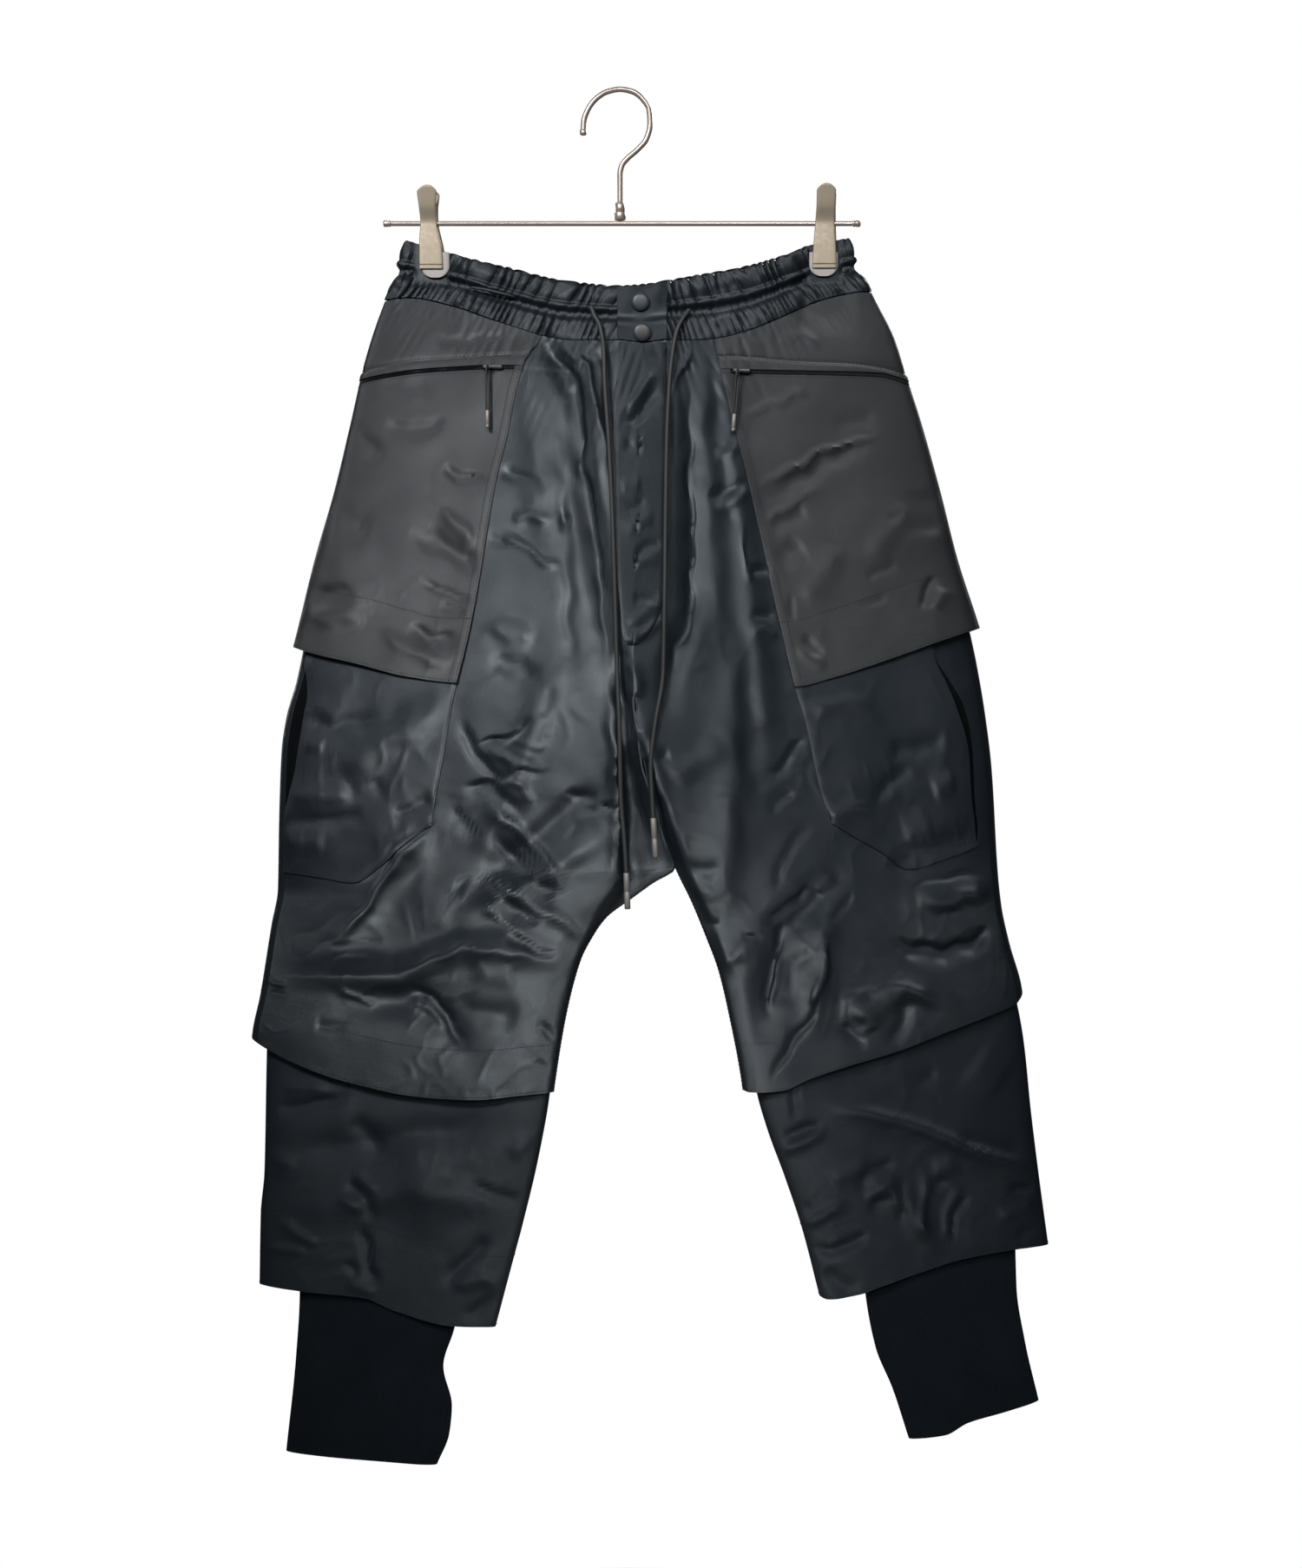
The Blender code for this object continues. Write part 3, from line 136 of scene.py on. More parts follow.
def make_sky(seen, lighting):
    """A sky that is bright to the camera and dim as a light."""
    sky = bpy.data.worlds.new("sky")
    sky.use_nodes = True
    tree = sky.node_tree
    background = tree.nodes["Background"]
    path = tree.nodes.new("ShaderNodeLightPath")
    strength = tree.nodes.new("ShaderNodeMix")
    strength.data_type = "FLOAT"
    strength.inputs["A"].default_value = lighting
    strength.inputs["B"].default_value = seen
    join(tree, (path, "Is Camera Ray", strength, "Factor"), (strength, "Result", background, "Strength"))
    background.inputs["Color"].default_value = (1.0, 1.0, 1.0, 1)
    bpy.context.scene.world = sky


def make_lamp(name, place, aim, size, power, beam):
    """A square soft lamp that looks at a point; a narrower beam (in degrees) keeps its light off the far end."""
    data = bpy.data.lights.new(name, "AREA")
    data.size = size
    data.energy = power
    data.spread = math.radians(beam)
    lamp = put_in_scene(name, data)
    lamp.location = place
    gaze = np.array(aim, float) - np.array(place, float)
    level_turn = math.atan2(gaze[0], gaze[1])
    tilt = math.atan2(gaze[2], math.hypot(gaze[0], gaze[1]))
    lamp.rotation_euler = (math.pi / 2 + tilt, 0.0, -level_turn)


make_sky(seen=1.0, lighting=0.04)
for name, settings in LAMPS.items():
    make_lamp(name, *settings)
bpy.context.scene.view_settings.view_transform = "Standard"
print("sky and", len(LAMPS), "lamps")

# %% [markdown]
# ## The sleeves that the cloth is cut from
# Each side of the trousers is a flattened tube. A place on it is s, from -1 at the inner edge over the front to 1
# at the outer edge and back behind to 3, and a height z. The tables hold the outline in millimetres. They are the
# solids' own, so a fine grid read from them lies on the solid.

# %% Outline tables: (height z, x of the edge)
CLOTH = 1.3
SEAM = 0.3
WAIST_GAP = 0.7
BACK_WAIST_GAP = 1.1
SECTION_POWER = 3.0
SIDE_SEAM_INSET = 6.0
HIP_WRAP = 62.0
USUAL_HALF_WIDTH = 140.0
USUAL_HALF_DEPTH = 24.0
CENTRE_X = 19
BODY_INNER = {
    "l": [(-110, 19), (-203, 19), (-330, 15), (-472, 11), (-523, 15), (-560, 22), (-588, 31), (-609, 37),
          (-631, 45), (-643, 27), (-656, 9), (-671, -11), (-688, -23), (-706, -32), (-752, -44), (-800, -52),
          (-860, -60)],
    "r": [(-110, 19), (-203, 19), (-330, 15), (-472, 11), (-523, 15), (-560, 22), (-588, 31), (-609, 37),
          (-631, 45), (-658, 58), (-687, 70), (-714, 80), (-752, 89), (-799, 98), (-860, 106)],
}
BODY_OUTER = {
    "l": [(-110, -172), (-121, -174), (-144, -181), (-158, -184), (-172, -190), (-200, -200), (-228, -208),
          (-270, -217), (-326, -229), (-382, -243), (-452, -257), (-480, -263), (-508, -271), (-536, -275),
          (-592, -277), (-648, -278), (-676, -283), (-732, -292), (-768, -299), (-860, -302)],
    "r": [(-110, 184), (-121, 187), (-144, 193), (-158, 200), (-172, 207), (-200, 221), (-228, 230),
          (-270, 243), (-326, 257), (-382, 269), (-438, 284), (-466, 290), (-508, 297), (-550, 302),
          (-634, 307), (-662, 310), (-690, 316), (-733, 327), (-860, 331)],
}
SHIN_INNER = {
    "l": [(-700, -46), (-814, -57), (-865, -66), (-920, -79), (-950, -87), (-1003, -101)],
    "r": [(-700, 90), (-813, 111), (-844, 120), (-882, 134), (-924, 148), (-978, 162)],
}
SHIN_OUTER = {
    "l": [(-700, -284), (-776, -287), (-877, -289), (-911, -292), (-968, -293)],
    "r": [(-700, 314), (-770, 328), (-828, 334), (-877, 340), (-936, 348)],
}
CUFF_INNER = {
    "l": [(-930, -120), (-1005, -135), (-1036, -144), (-1068, -137), (-1090, -139), (-1115, -149)],
    "r": [(-890, 192), (-978, 200), (-1020, 208), (-1054, 222), (-1094, 235)],
}
CUFF_OUTER = {
    "l": [(-905, -262), (-973, -260), (-1027, -263), (-1104, -271)],
    "r": [(-880, 320), (-971, 322), (-1016, 329), (-1063, 340)],
}
BODY_DEPTH = [(-110, 8), (-150, 8.5), (-175, 10), (-205, 13.5), (-230, 15.5), (-280, 17.5), (-330, 19.5),
              (-400, 22), (-480, 24), (-600, 26), (-700, 26), (-760, 25), (-830, 23)]
SHIN_DEPTH = [(-700, 15), (-800, 16), (-850, 17.5), (-900, 17), (-1000, 15)]
CUFF_DEPTH = [(-900, 12), (-980, 11), (-1110, 10)]
CROTCH_TOP = -561.0
CROTCH_POINT = -631.0
TUCK_EDGE = [(-520, 8), (-564, 0), (-636, 1), (-658, -11), (-693, -28), (-730, -42)]
TUCK_DEPTH = [(-520, 0), (-560, 12), (-590, 18), (-650, 18), (-690, 11), (-730, 0)]
CLIP_X = {"l": -153.5, "r": 166.5}
CLIP_PRESSED, CLIP_RUN_OUT, CLIP_PRESS = 14.0, 29.0, 0.68
CLIP_PRESS_TOP, CLIP_PRESS_END = -154.0, -208.0
print("outline of", len(BODY_INNER["l"]) + len(BODY_OUTER["l"]), "points on the left body")

# %% Level lines across each side: (x, height z), and the hip seam: (height z, x)
LEVELS = {
    "l": {
        "band_top": [(-190, -118), (-174, -121), (-139, -132), (-108, -141), (-89, -146), (-45, -156), (-1, -160),
                     (20, -159)],
        "waist": [(-200, -171), (-190, -170), (-170, -168), (-136, -175), (-108, -185), (-80, -194), (-64, -199),
                  (-38, -203), (0, -203), (19, -205), (40, -204)],
        "zip_top": [(-213, -231), (-198, -226), (-163, -221), (-134, -219), (-108, -217), (-87, -216), (19, -223)],
        "zip_low": [(-214, -240), (-198, -236), (-163, -231), (-134, -229), (-108, -228), (-87, -228), (19, -235)],
        "hip_hem": [(-264, -449), (-251, -456), (-211, -466), (-172, -476), (-130, -481), (19, -481)],
        "pocket": [(-277, -633), (-241, -638), (-214, -642), (-193, -629), (-172, -611), (-152, -596),
                   (-100, -580), (22, -572)],
        "crotch": [(-285, -680), (-214, -680), (-150, -660), (-60, -636), (46, -630.5)],
        "hem": [(-300, -768), (-286, -776), (-266, -786), (-229, -800), (-201, -807), (-173, -813), (-144, -816),
                (-116, -817), (-79, -814), (-50, -812)],
        "cuff_seam": [(-292, -909), (-232, -911), (-207, -917), (-183, -928), (-147, -938), (-87, -943)],
        "shin_hem": [(-293, -968), (-255, -973), (-207, -978), (-183, -988), (-135, -1001), (-101, -1003)],
        "cuff_hem": [(-271, -1104), (-232, -1108), (-149, -1115)],
    },
    "r": {
        "band_top": [(20, -159), (60, -152), (104, -144), (143, -131), (155, -126), (186, -119), (200, -116)],
        "waist": [(0, -204), (19, -205), (38, -203), (60, -203), (76, -202), (102, -196), (130, -185), (158, -172),
                  (183, -165), (202, -163), (210, -163)],
        "zip_top": [(19, -223), (90, -217), (109, -218), (143, -221), (186, -223), (211, -226), (233, -231)],
        "zip_low": [(19, -235), (90, -231), (134, -232), (177, -233), (211, -234), (236, -241)],
        "hip_hem": [(19, -484), (142, -484), (172, -477), (212, -464), (251, -450), (286, -437), (294, -432)],
        "pocket": [(22, -572), (120, -580), (170, -594), (187, -604), (209, -616), (232, -631), (268, -621),
                   (305, -611)],
        "crotch": [(45, -630.5), (60, -633), (150, -648), (232, -660), (312, -656)],
        "hem": [(98, -810), (105, -812), (131, -810), (154, -800), (183, -790), (223, -778), (262, -763),
                (302, -748), (321, -740), (328, -731)],
        "cuff_seam": [(148, -924), (213, -904), (253, -884), (288, -879), (340, -877)],
        "shin_hem": [(162, -978), (168, -980), (195, -975), (213, -968), (244, -957), (275, -947), (320, -939),
                     (348, -936)],
        "cuff_hem": [(235, -1094), (264, -1090), (282, -1080), (309, -1072), (340, -1063)],
    },
}
BACK_RISE = 4.0
ZIP_SLOT = 3.4
WELT = 2.0
TAPE = 0.8
HIP_SEAM = {
    "l": [(-150, -58), (-200, -64), (-222, -77), (-245, -84), (-281, -91), (-318, -100), (-364, -108),
          (-408, -115), (-448, -123), (-484, -132), (-510, -137), (-546, -143), (-592, -151), (-700, -158),
          (-820, -165)],
    "r": [(-150, 68), (-210, 78), (-230, 82), (-280, 94), (-322, 104), (-369, 115), (-408, 123), (-442, 131),
          (-484, 141), (-510, 149), (-569, 162), (-593, 170), (-700, 190), (-820, 205)],
}
print(len(LEVELS["l"]), "level lines a side")

# %% [markdown]
# ## Folds
# Hanging satin is never flat. Each fold below was read off: its half width, how far it lifts or sinks, how
# sharp it is on its left-hand side, and its route. 1 is even on both sides; 0.4 falls away steeply on the left of
# the route, as a crease does that has been pressed over. The main folds bend the sleeves, and the fine ones, listed
# by area, are laid over them. Behind, where nothing is seen, the front's fine folds are used again a little lower.
# A few low waves over all keep the sheen uneven.

# %% Folds: half width, height, sharpness and route of (x, z); each main fold has a name, the fine ones an area
MAIN_FRONT = [
    ("pleat left", 9, -5.0, 1, [(-64, -198), (-50, -222), (-37, -248), (-30, -322), (-14, -410), (-6, -485)]),
    ("pleat ridge left", 9, 4.0, 1, [(-32, -215), (-22, -270), (-16, -330)]),
    ("knee ridge left", 11, 6.0, 1, [(-287, -716), (-232, -716), (-178, -717), (-126, -694), (-97, -696),
                                     (-52, -702)]),
    ("knee hollow left", 14, -4.5, 1, [(-215, -742), (-163, -736), (-135, -758), (-122, -778)]),
    ("thigh ridge left", 15, 5.0, 1, [(-152, -598), (-190, -640), (-234, -693)]),
    ("crotch ray upper left", 10, -4.0, 1, [(-12, -560), (-60, -600), (-110, -640)]),
    ("crotch ray lower left", 10, 4.0, 1, [(-14, -604), (-70, -640), (-120, -668)]),
    ("thigh crease left", 11, 4.0, 1, [(-55, -480), (-80, -545), (-105, -610)]),
    ("fly fold right", 8, -5.0, 1, [(56, -230), (57, -350), (57, -420), (42, -466), (38, -500)]),
    ("pleat right", 10, 3.5, 1, [(84, -240), (98, -340), (112, -460), (120, -540)]),
    ("knee slant right", 11, -5.0, 1, [(172, -637), (156, -656), (131, -681), (119, -720), (116, -760)]),
    ("knee ridge right", 11, 6.0, 1, [(166, -664), (162, -700), (156, -755)]),
    ("side ridge right", 11, 5.0, 1, [(236, -657), (266, -652), (302, -648)]),
    ("side hollow right", 11, -5.0, 1, [(219, -687), (253, -702), (282, -693), (302, -677)]),
    ("low ridge right", 10, 5.0, 1, [(174, -740), (203, -744), (231, -726), (262, -738)]),
]
MAIN_BACK = [
    ("seat drag left", 14, 5.0, 1, [(-150, -330), (-90, -430), (-20, -540)]),
    ("seat drag right", 14, 5.0, 1, [(190, -330), (130, -430), (60, -540)]),
    ("thigh hollow left", 13, -5.0, 1, [(-60, -600), (-140, -640), (-230, -660)]),
    ("thigh hollow right", 13, -5.0, 1, [(90, -610), (170, -650), (260, -640)]),
    ("knee ridge left back", 12, 5.0, 1, [(-80, -730), (-160, -715), (-260, -730)]),
    ("knee ridge right back", 12, 5.0, 1, [(110, -740), (190, -715), (280, -700)]),
]
MAIN_SHIN = [
    ("shin ridge right", 15, 5.0, 1, [(150, -815), (240, -840), (326, -872)]),
    ("shin crease right", 9, 3.5, 1, [(205, -880), (235, -905), (250, -935)]),
    ("shin hollow left", 14, -4.0, 1, [(-270, -860), (-190, -852), (-100, -838)]),
    ("shin ridge left", 13, 4.0, 1, [(-240, -905), (-170, -890), (-110, -900)]),
]
FRONT_CREASES = [
    ("yoke", [
        (2.8, -1.3, 0.6, [(-151, -201), (-136, -203), (-121, -204), (-106, -198)]),
        (2.8, -0.8, 1, [(-108, -202), (-92, -199)]),
        (4.9, 0.9, 1, [(130, -199), (165, -206)]),
        (3.5, -0.9, 0.7, [(99, -202), (125, -195)]),
    ]),
    ("left flap", [
        (5.6, -0.7, 1, [(-195, -238), (-171, -243), (-148, -243)]),
        (4.2, -1.9, 0.6, [(-144, -307), (-132, -313), (-106, -317)]),
        (9.1, -2.7, 0.8, [(-168, -357), (-144, -369), (-125, -381), (-111, -383)]),
        (5.6, 1.9, 0.7, [(-146, -340), (-129, -355), (-115, -370)]),
        (3.5, -1.6, 0.6, [(-162, -399), (-141, -408), (-118, -414)]),
        (2.8, -1.3, 0.6, [(-145, -420), (-124, -423)]),
        (6.3, -2.2, 0.7, [(-169, -436), (-151, -446), (-129, -446)]),
        (5.6, 1.6, 1, [(-193, -440), (-168, -455), (-136, -468)]),
        (19.6, 2.4, 1, [(-253, -322), (-227, -378), (-206, -434)]),
        (8.4, -1.9, 0.8, [(-214, -268), (-204, -286), (-194, -304)]),
        (9.1, -2.3, 0.8, [(-262, -400), (-238, -410), (-208, -407)]),
        (7.7, 1.7, 1, [(-262, -421), (-236, -430), (-204, -425)]),
        (11.2, -2.0, 1, [(-240, -326), (-222, -350), (-198, -360)]),
        (6.3, -1.6, 0.7, [(-192, -272), (-168, -277), (-140, -270)]),
    ]),
    ("left front", [
        (5.6, -1.6, 0.7, [(-97, -308), (-80, -314), (-60, -327)]),
        (4.9, 1.3, 0.8, [(-90, -349), (-73, -345), (-55, -350)]),
        (2.8, 1.5, 0.6, [(-95, -359), (-77, -370), (-59, -386), (-48, -385)]),
        (6.3, -1.7, 1, [(-49, -349), (-39, -352)]),
        (3.5, -0.9, 1, [(-109, -364), (-88, -368)]),
        (8.4, 1.4, 1, [(-111, -432), (-87, -440), (-67, -445)]),
        (8.4, -1.5, 1, [(-108, -464), (-81, -469), (-70, -483)]),
    ]),
    ("left pleats", [
        (9.8, 1.2, 1, [(-76, -210), (-71, -266), (-67, -322), (-57, -378)]),
        (5.6, -1.1, 1, [(-50, -236), (-48, -294), (-45, -350), (-41, -420), (-38, -490)]),
        (3.5, -1.8, 0.7, [(-64, -198), (-52, -217), (-35, -238), (-31, -266), (-29, -308), (-23, -343), (-17, -378),
                          (-11, -448), (-8, -490)]),
        (2.8, 1.8, 0.6, [(-39, -208), (-25, -224), (-21, -247), (-14, -280), (-10, -322)]),
        (2.8, 1.2, 0.6, [(-52, -199), (-42, -213), (-29, -227)]),
        (2.8, -1.4, 1, [(-17, -205), (-11, -238), (-7, -280)]),
    ]),
    ("left pocket", [
        (12.6, 2.6, 1, [(-133, -489), (-169, -517), (-206, -539), (-225, -556)]),
        (7.7, -2, 1, [(-255, -511), (-231, -517), (-192, -509)]),
        (5.6, 1.2, 1, [(-255, -530), (-237, -531)]),
        (7.7, 1.9, 1, [(-270, -570), (-239, -573), (-214, -567)]),
        (5.6, -2, 0.8, [(-272, -591), (-237, -593), (-203, -587)]),
        (6.3, 1.2, 1, [(-272, -609), (-237, -612)]),
        (3.5, -1, 1, [(-200, -558), (-190, -577)]),
        (6.3, -1.8, 1, [(-185, -591), (-167, -584), (-150, -574)]),
        (3.5, -1.5, 1, [(-217, -643), (-193, -628), (-172, -607), (-148, -590)]),
        (4.9, 2.4, 0.6, [(-237, -695), (-221, -681), (-203, -660), (-186, -633), (-168, -612), (-147, -594)]),
    ]),
    ("left thigh", [
        (14, 0.5, 1, [(-125, -483), (-99, -495), (-76, -504)]),
        (2.8, -2, 0.6, [(-118, -531), (-98, -527), (-81, -520), (-70, -507)]),
        (4.2, -1.9, 0.6, [(-130, -509), (-119, -531), (-105, -551), (-94, -562)]),
        (4.2, 1.5, 0.7, [(-108, -537), (-90, -541), (-80, -549)]),
        (2.1, -1.2, 0.6, [(-99, -559), (-81, -552), (-56, -553)]),
        (4.2, 1.5, 0.6, [(-91, -559), (-77, -566), (-69, -581)]),
        (5.6, -2.2, 0.6, [(-129, -567), (-106, -563), (-91, -576), (-76, -591)]),
        (4.2, 2.3, 0.6, [(-109, -580), (-85, -595), (-64, -616), (-48, -639), (-36, -656)]),
        (5.6, -2.3, 0.7, [(-106, -597), (-87, -619), (-67, -642), (-50, -656)]),
        (3.5, -1.4, 0.7, [(-133, -581), (-115, -607)]),
        (4.9, 1.9, 0.6, [(-120, -629), (-87, -649), (-64, -663), (-43, -674), (-29, -692)]),
        (4.2, -1.9, 0.8, [(-106, -646), (-83, -664), (-62, -677)]),
        (3.5, 1.6, 0.6, [(-113, -656), (-92, -672), (-66, -691)]),
        (4.2, -2, 0.8, [(-94, -684), (-69, -696), (-43, -702)]),
        (2.4, -1.5, 1, [(-133, -651), (-126, -643), (-119, -639)]),
        (4.2, -1.2, 1, [(-57, -483), (-63, -511)]),
        (2.8, -1.9, 0.5, [(-36, -587), (-17, -582), (3, -580)]),
        (3.5, -1, 1, [(-43, -569), (-21, -574)]),
        (2.1, -0.9, 1, [(-32, -593), (-42, -609)]),
        (15.4, 1.5, 1, [(-171, -637), (-150, -658), (-143, -686)]),
    ]),
    ("left knee", [
        (3.5, 0.4, 0.5, [(-290, -717), (-232, -716), (-179, -716)]),
        (3.5, 1.2, 0.5, [(-179, -717), (-150, -702), (-127, -693), (-97, -696), (-50, -703)]),
        (4.2, -2.1, 0.7, [(-174, -724), (-151, -734), (-139, -748), (-129, -766), (-120, -780)]),
        (4.2, 1.7, 1, [(-172, -735), (-153, -744), (-139, -761)]),
        (9.8, -1.8, 1, [(-136, -740), (-108, -748), (-80, -751)]),
        (9.8, 1.5, 1, [(-122, -714), (-80, -717)]),
        (2.8, 1.2, 0.6, [(-290, -721), (-267, -723)]),
        (2.8, -0.6, 0.6, [(-290, -730), (-266, -733)]),
        (2.8, 1, 0.6, [(-228, -727), (-210, -734), (-192, -741)]),
        (5.6, -1, 1, [(-248, -755), (-220, -759)]),
        (3.5, -1.7, 0.6, [(-69, -755), (-52, -768), (-42, -769)]),
        (2.8, -1.2, 0.6, [(-71, -786), (-52, -793)]),
    ]),
    ("right flap", [
        (3.5, 1.3, 0.6, [(99, -266), (125, -254), (154, -243)]),
        (6.3, -0.9, 1, [(169, -275), (209, -265)]),
        (3.5, 1.9, 0.5, [(106, -325), (137, -308), (158, -297), (183, -287), (213, -280)]),
        (6.3, -1.9, 1, [(113, -335), (151, -314), (169, -301), (203, -289)]),
        (2.8, 1.5, 0.5, [(116, -350), (134, -338), (167, -322)]),
        (6.3, -1.3, 1, [(119, -359), (151, -342)]),
        (9.8, -1.5, 1, [(125, -385), (151, -370)]),
        (9.8, 1.4, 1, [(148, -420), (165, -392), (175, -371)]),
        (8.4, 1.2, 1, [(197, -385), (218, -357), (235, -336)]),
        (3.5, -0.9, 1, [(213, -352), (230, -343)]),
        (3.5, -0.9, 1, [(197, -398), (224, -385)]),
        (2.8, -0.8, 0.6, [(190, -418), (217, -413)]),
        (4.2, -2, 0.6, [(244, -423), (246, -408), (255, -394)]),
        (4.9, 1.6, 1, [(251, -423), (260, -405)]),
        (15.4, -1.8, 1, [(251, -322), (255, -364)]),
        (3.5, -1.6, 0.7, [(148, -443), (165, -460)]),
        (4.2, 1.2, 1, [(143, -451), (165, -471)]),
        (2.1, -1, 1, [(137, -412), (139, -432)]),
    ]),
    ("right front", [
        (4.2, -1.3, 0.6, [(69, -332), (85, -327), (104, -317)]),
        (4.2, 1.1, 1, [(76, -303), (97, -290)]),
        (4.2, 1.3, 1, [(77, -346), (104, -324)]),
        (2.8, 1.4, 0.6, [(98, -348), (102, -378), (106, -402)]),
        (3.5, -1.6, 0.6, [(106, -388), (122, -392)]),
        (4.2, -1.5, 0.6, [(106, -423), (125, -429)]),
        (3.5, 1.2, 0.6, [(106, -440), (127, -442)]),
    ]),
    ("right thigh", [
        (16.8, 3.2, 0.5, [(97, -434), (92, -490), (92, -560), (88, -630), (85, -672)]),
        (9.8, 1.4, 1, [(39, -560), (60, -546), (88, -532)]),
        (4.9, -1.2, 1, [(32, -542), (43, -538)]),
        (6.3, -1.1, 1, [(50, -635), (83, -629)]),
        (3.5, -1.6, 0.7, [(64, -679), (84, -675)]),
        (2.1, -1.4, 0.7, [(97, -686), (115, -685)]),
        (5.6, 1.5, 1, [(71, -717), (92, -702), (111, -692)]),
    ]),
    ("right knee", [
        (3.5, -1.7, 0.6, [(148, -524), (136, -541), (125, -558)]),
        (4.2, -1.3, 0.7, [(139, -566), (119, -584)]),
        (2.8, -1.8, 0.6, [(154, -593), (140, -614), (130, -632), (125, -647)]),
        (3.5, -2.2, 0.6, [(157, -643), (134, -661), (115, -678)]),
        (4.2, 1.7, 1, [(174, -635), (157, -651)]),
        (4.2, -2.4, 0.7, [(132, -670), (125, -700), (120, -728), (118, -755)]),
        (2.8, 1.8, 0.6, [(132, -693), (125, -726), (120, -748)]),
        (7.7, -1.9, 1, [(147, -691), (139, -721), (129, -745)]),
        (4.2, 2.2, 0.6, [(167, -679), (165, -706), (160, -730), (154, -748)]),
        (3.5, -2.2, 0.6, [(165, -733), (146, -762), (132, -783), (122, -801)]),
        (2.1, -1.2, 1, [(192, -650), (178, -663), (168, -674)]),
    ]),
    ("right pocket", [
        (6.3, 1.6, 1, [(148, -502), (175, -499), (207, -492)]),
        (7, -2, 0.8, [(211, -535), (239, -534), (263, -524)]),
        (4.9, -1.9, 0.7, [(202, -577), (217, -562), (235, -548)]),
        (8.4, 1.8, 1, [(249, -567), (270, -559)]),
        (4.9, 1.6, 0.8, [(169, -591), (183, -583), (202, -577)]),
        (11.2, 1.2, 1, [(228, -604), (253, -595)]),
        (9.1, -2.2, 0.8, [(213, -621), (242, -619), (270, -608), (293, -597)]),
    ]),
    ("right hem", [
        (2.8, -1.5, 0.7, [(234, -643), (263, -637), (294, -633)]),
        (5.6, 1.6, 1, [(246, -664), (270, -656), (300, -647)]),
        (7, -2.3, 0.7, [(216, -686), (235, -695), (263, -698), (286, -689), (304, -674)]),
        (5.6, 1.9, 0.6, [(172, -738), (200, -729), (230, -724), (260, -741)]),
        (4.2, -1.7, 1, [(176, -755), (200, -775)]),
        (6.3, -2.1, 1, [(231, -733), (227, -754), (218, -776)]),
        (7, 1.5, 1, [(193, -742), (203, -763)]),
    ]),
    ("right pleats", [
        (2.8, 1.5, 0.6, [(60, -208), (50, -226), (42, -245)]),
        (2.8, -1.8, 0.6, [(57, -238), (57, -294), (58, -350), (58, -398), (57, -434), (46, -453), (40, -482)]),
        (5.6, -1.1, 1, [(74, -208), (78, -259), (85, -322), (90, -378)]),
        (7, 1.3, 1, [(64, -224), (70, -294), (77, -378), (81, -448)]),
    ]),
    ("fly", [
        (4.2, 2, 0.8, [(0, -258), (17, -247), (31, -230)]),
        (4.9, -2.4, 0.8, [(4, -272), (18, -261), (34, -240)]),
        (5.6, -1.2, 1, [(4, -290), (13, -289)]),
        (6.3, 1.2, 1, [(1, -324), (18, -320)]),
        (4.2, -1.2, 1, [(3, -338), (24, -336)]),
        (4.9, 1.2, 1, [(0, -359), (18, -350), (29, -349)]),
        (3.5, -1.2, 1, [(11, -378), (35, -367)]),
        (3.5, 1, 1, [(10, -387), (32, -380)]),
        (3.5, -1.3, 1, [(10, -415), (32, -412)]),
        (3.5, 1.4, 1, [(4, -432), (21, -426), (31, -415)]),
        (4.2, 1.5, 1, [(6, -450), (24, -437), (35, -429)]),
        (4.9, 2, 1, [(7, -460), (14, -479), (17, -495)]),
        (4.9, -2.4, 1, [(1, -448), (0, -476), (1, -511)]),
    ]),
    ("centre", [
        (9.1, -5, 0.6, [(-1, -469), (6, -511), (10, -546), (15, -581), (21, -623)]),
        (4.2, 2.2, 0.6, [(-7, -462), (-6, -511), (-4, -546), (-1, -574), (-3, -609), (-10, -651)]),
        (4.9, 1.8, 1, [(17, -490), (22, -525), (28, -560), (35, -595), (43, -627)]),
    ]),
]
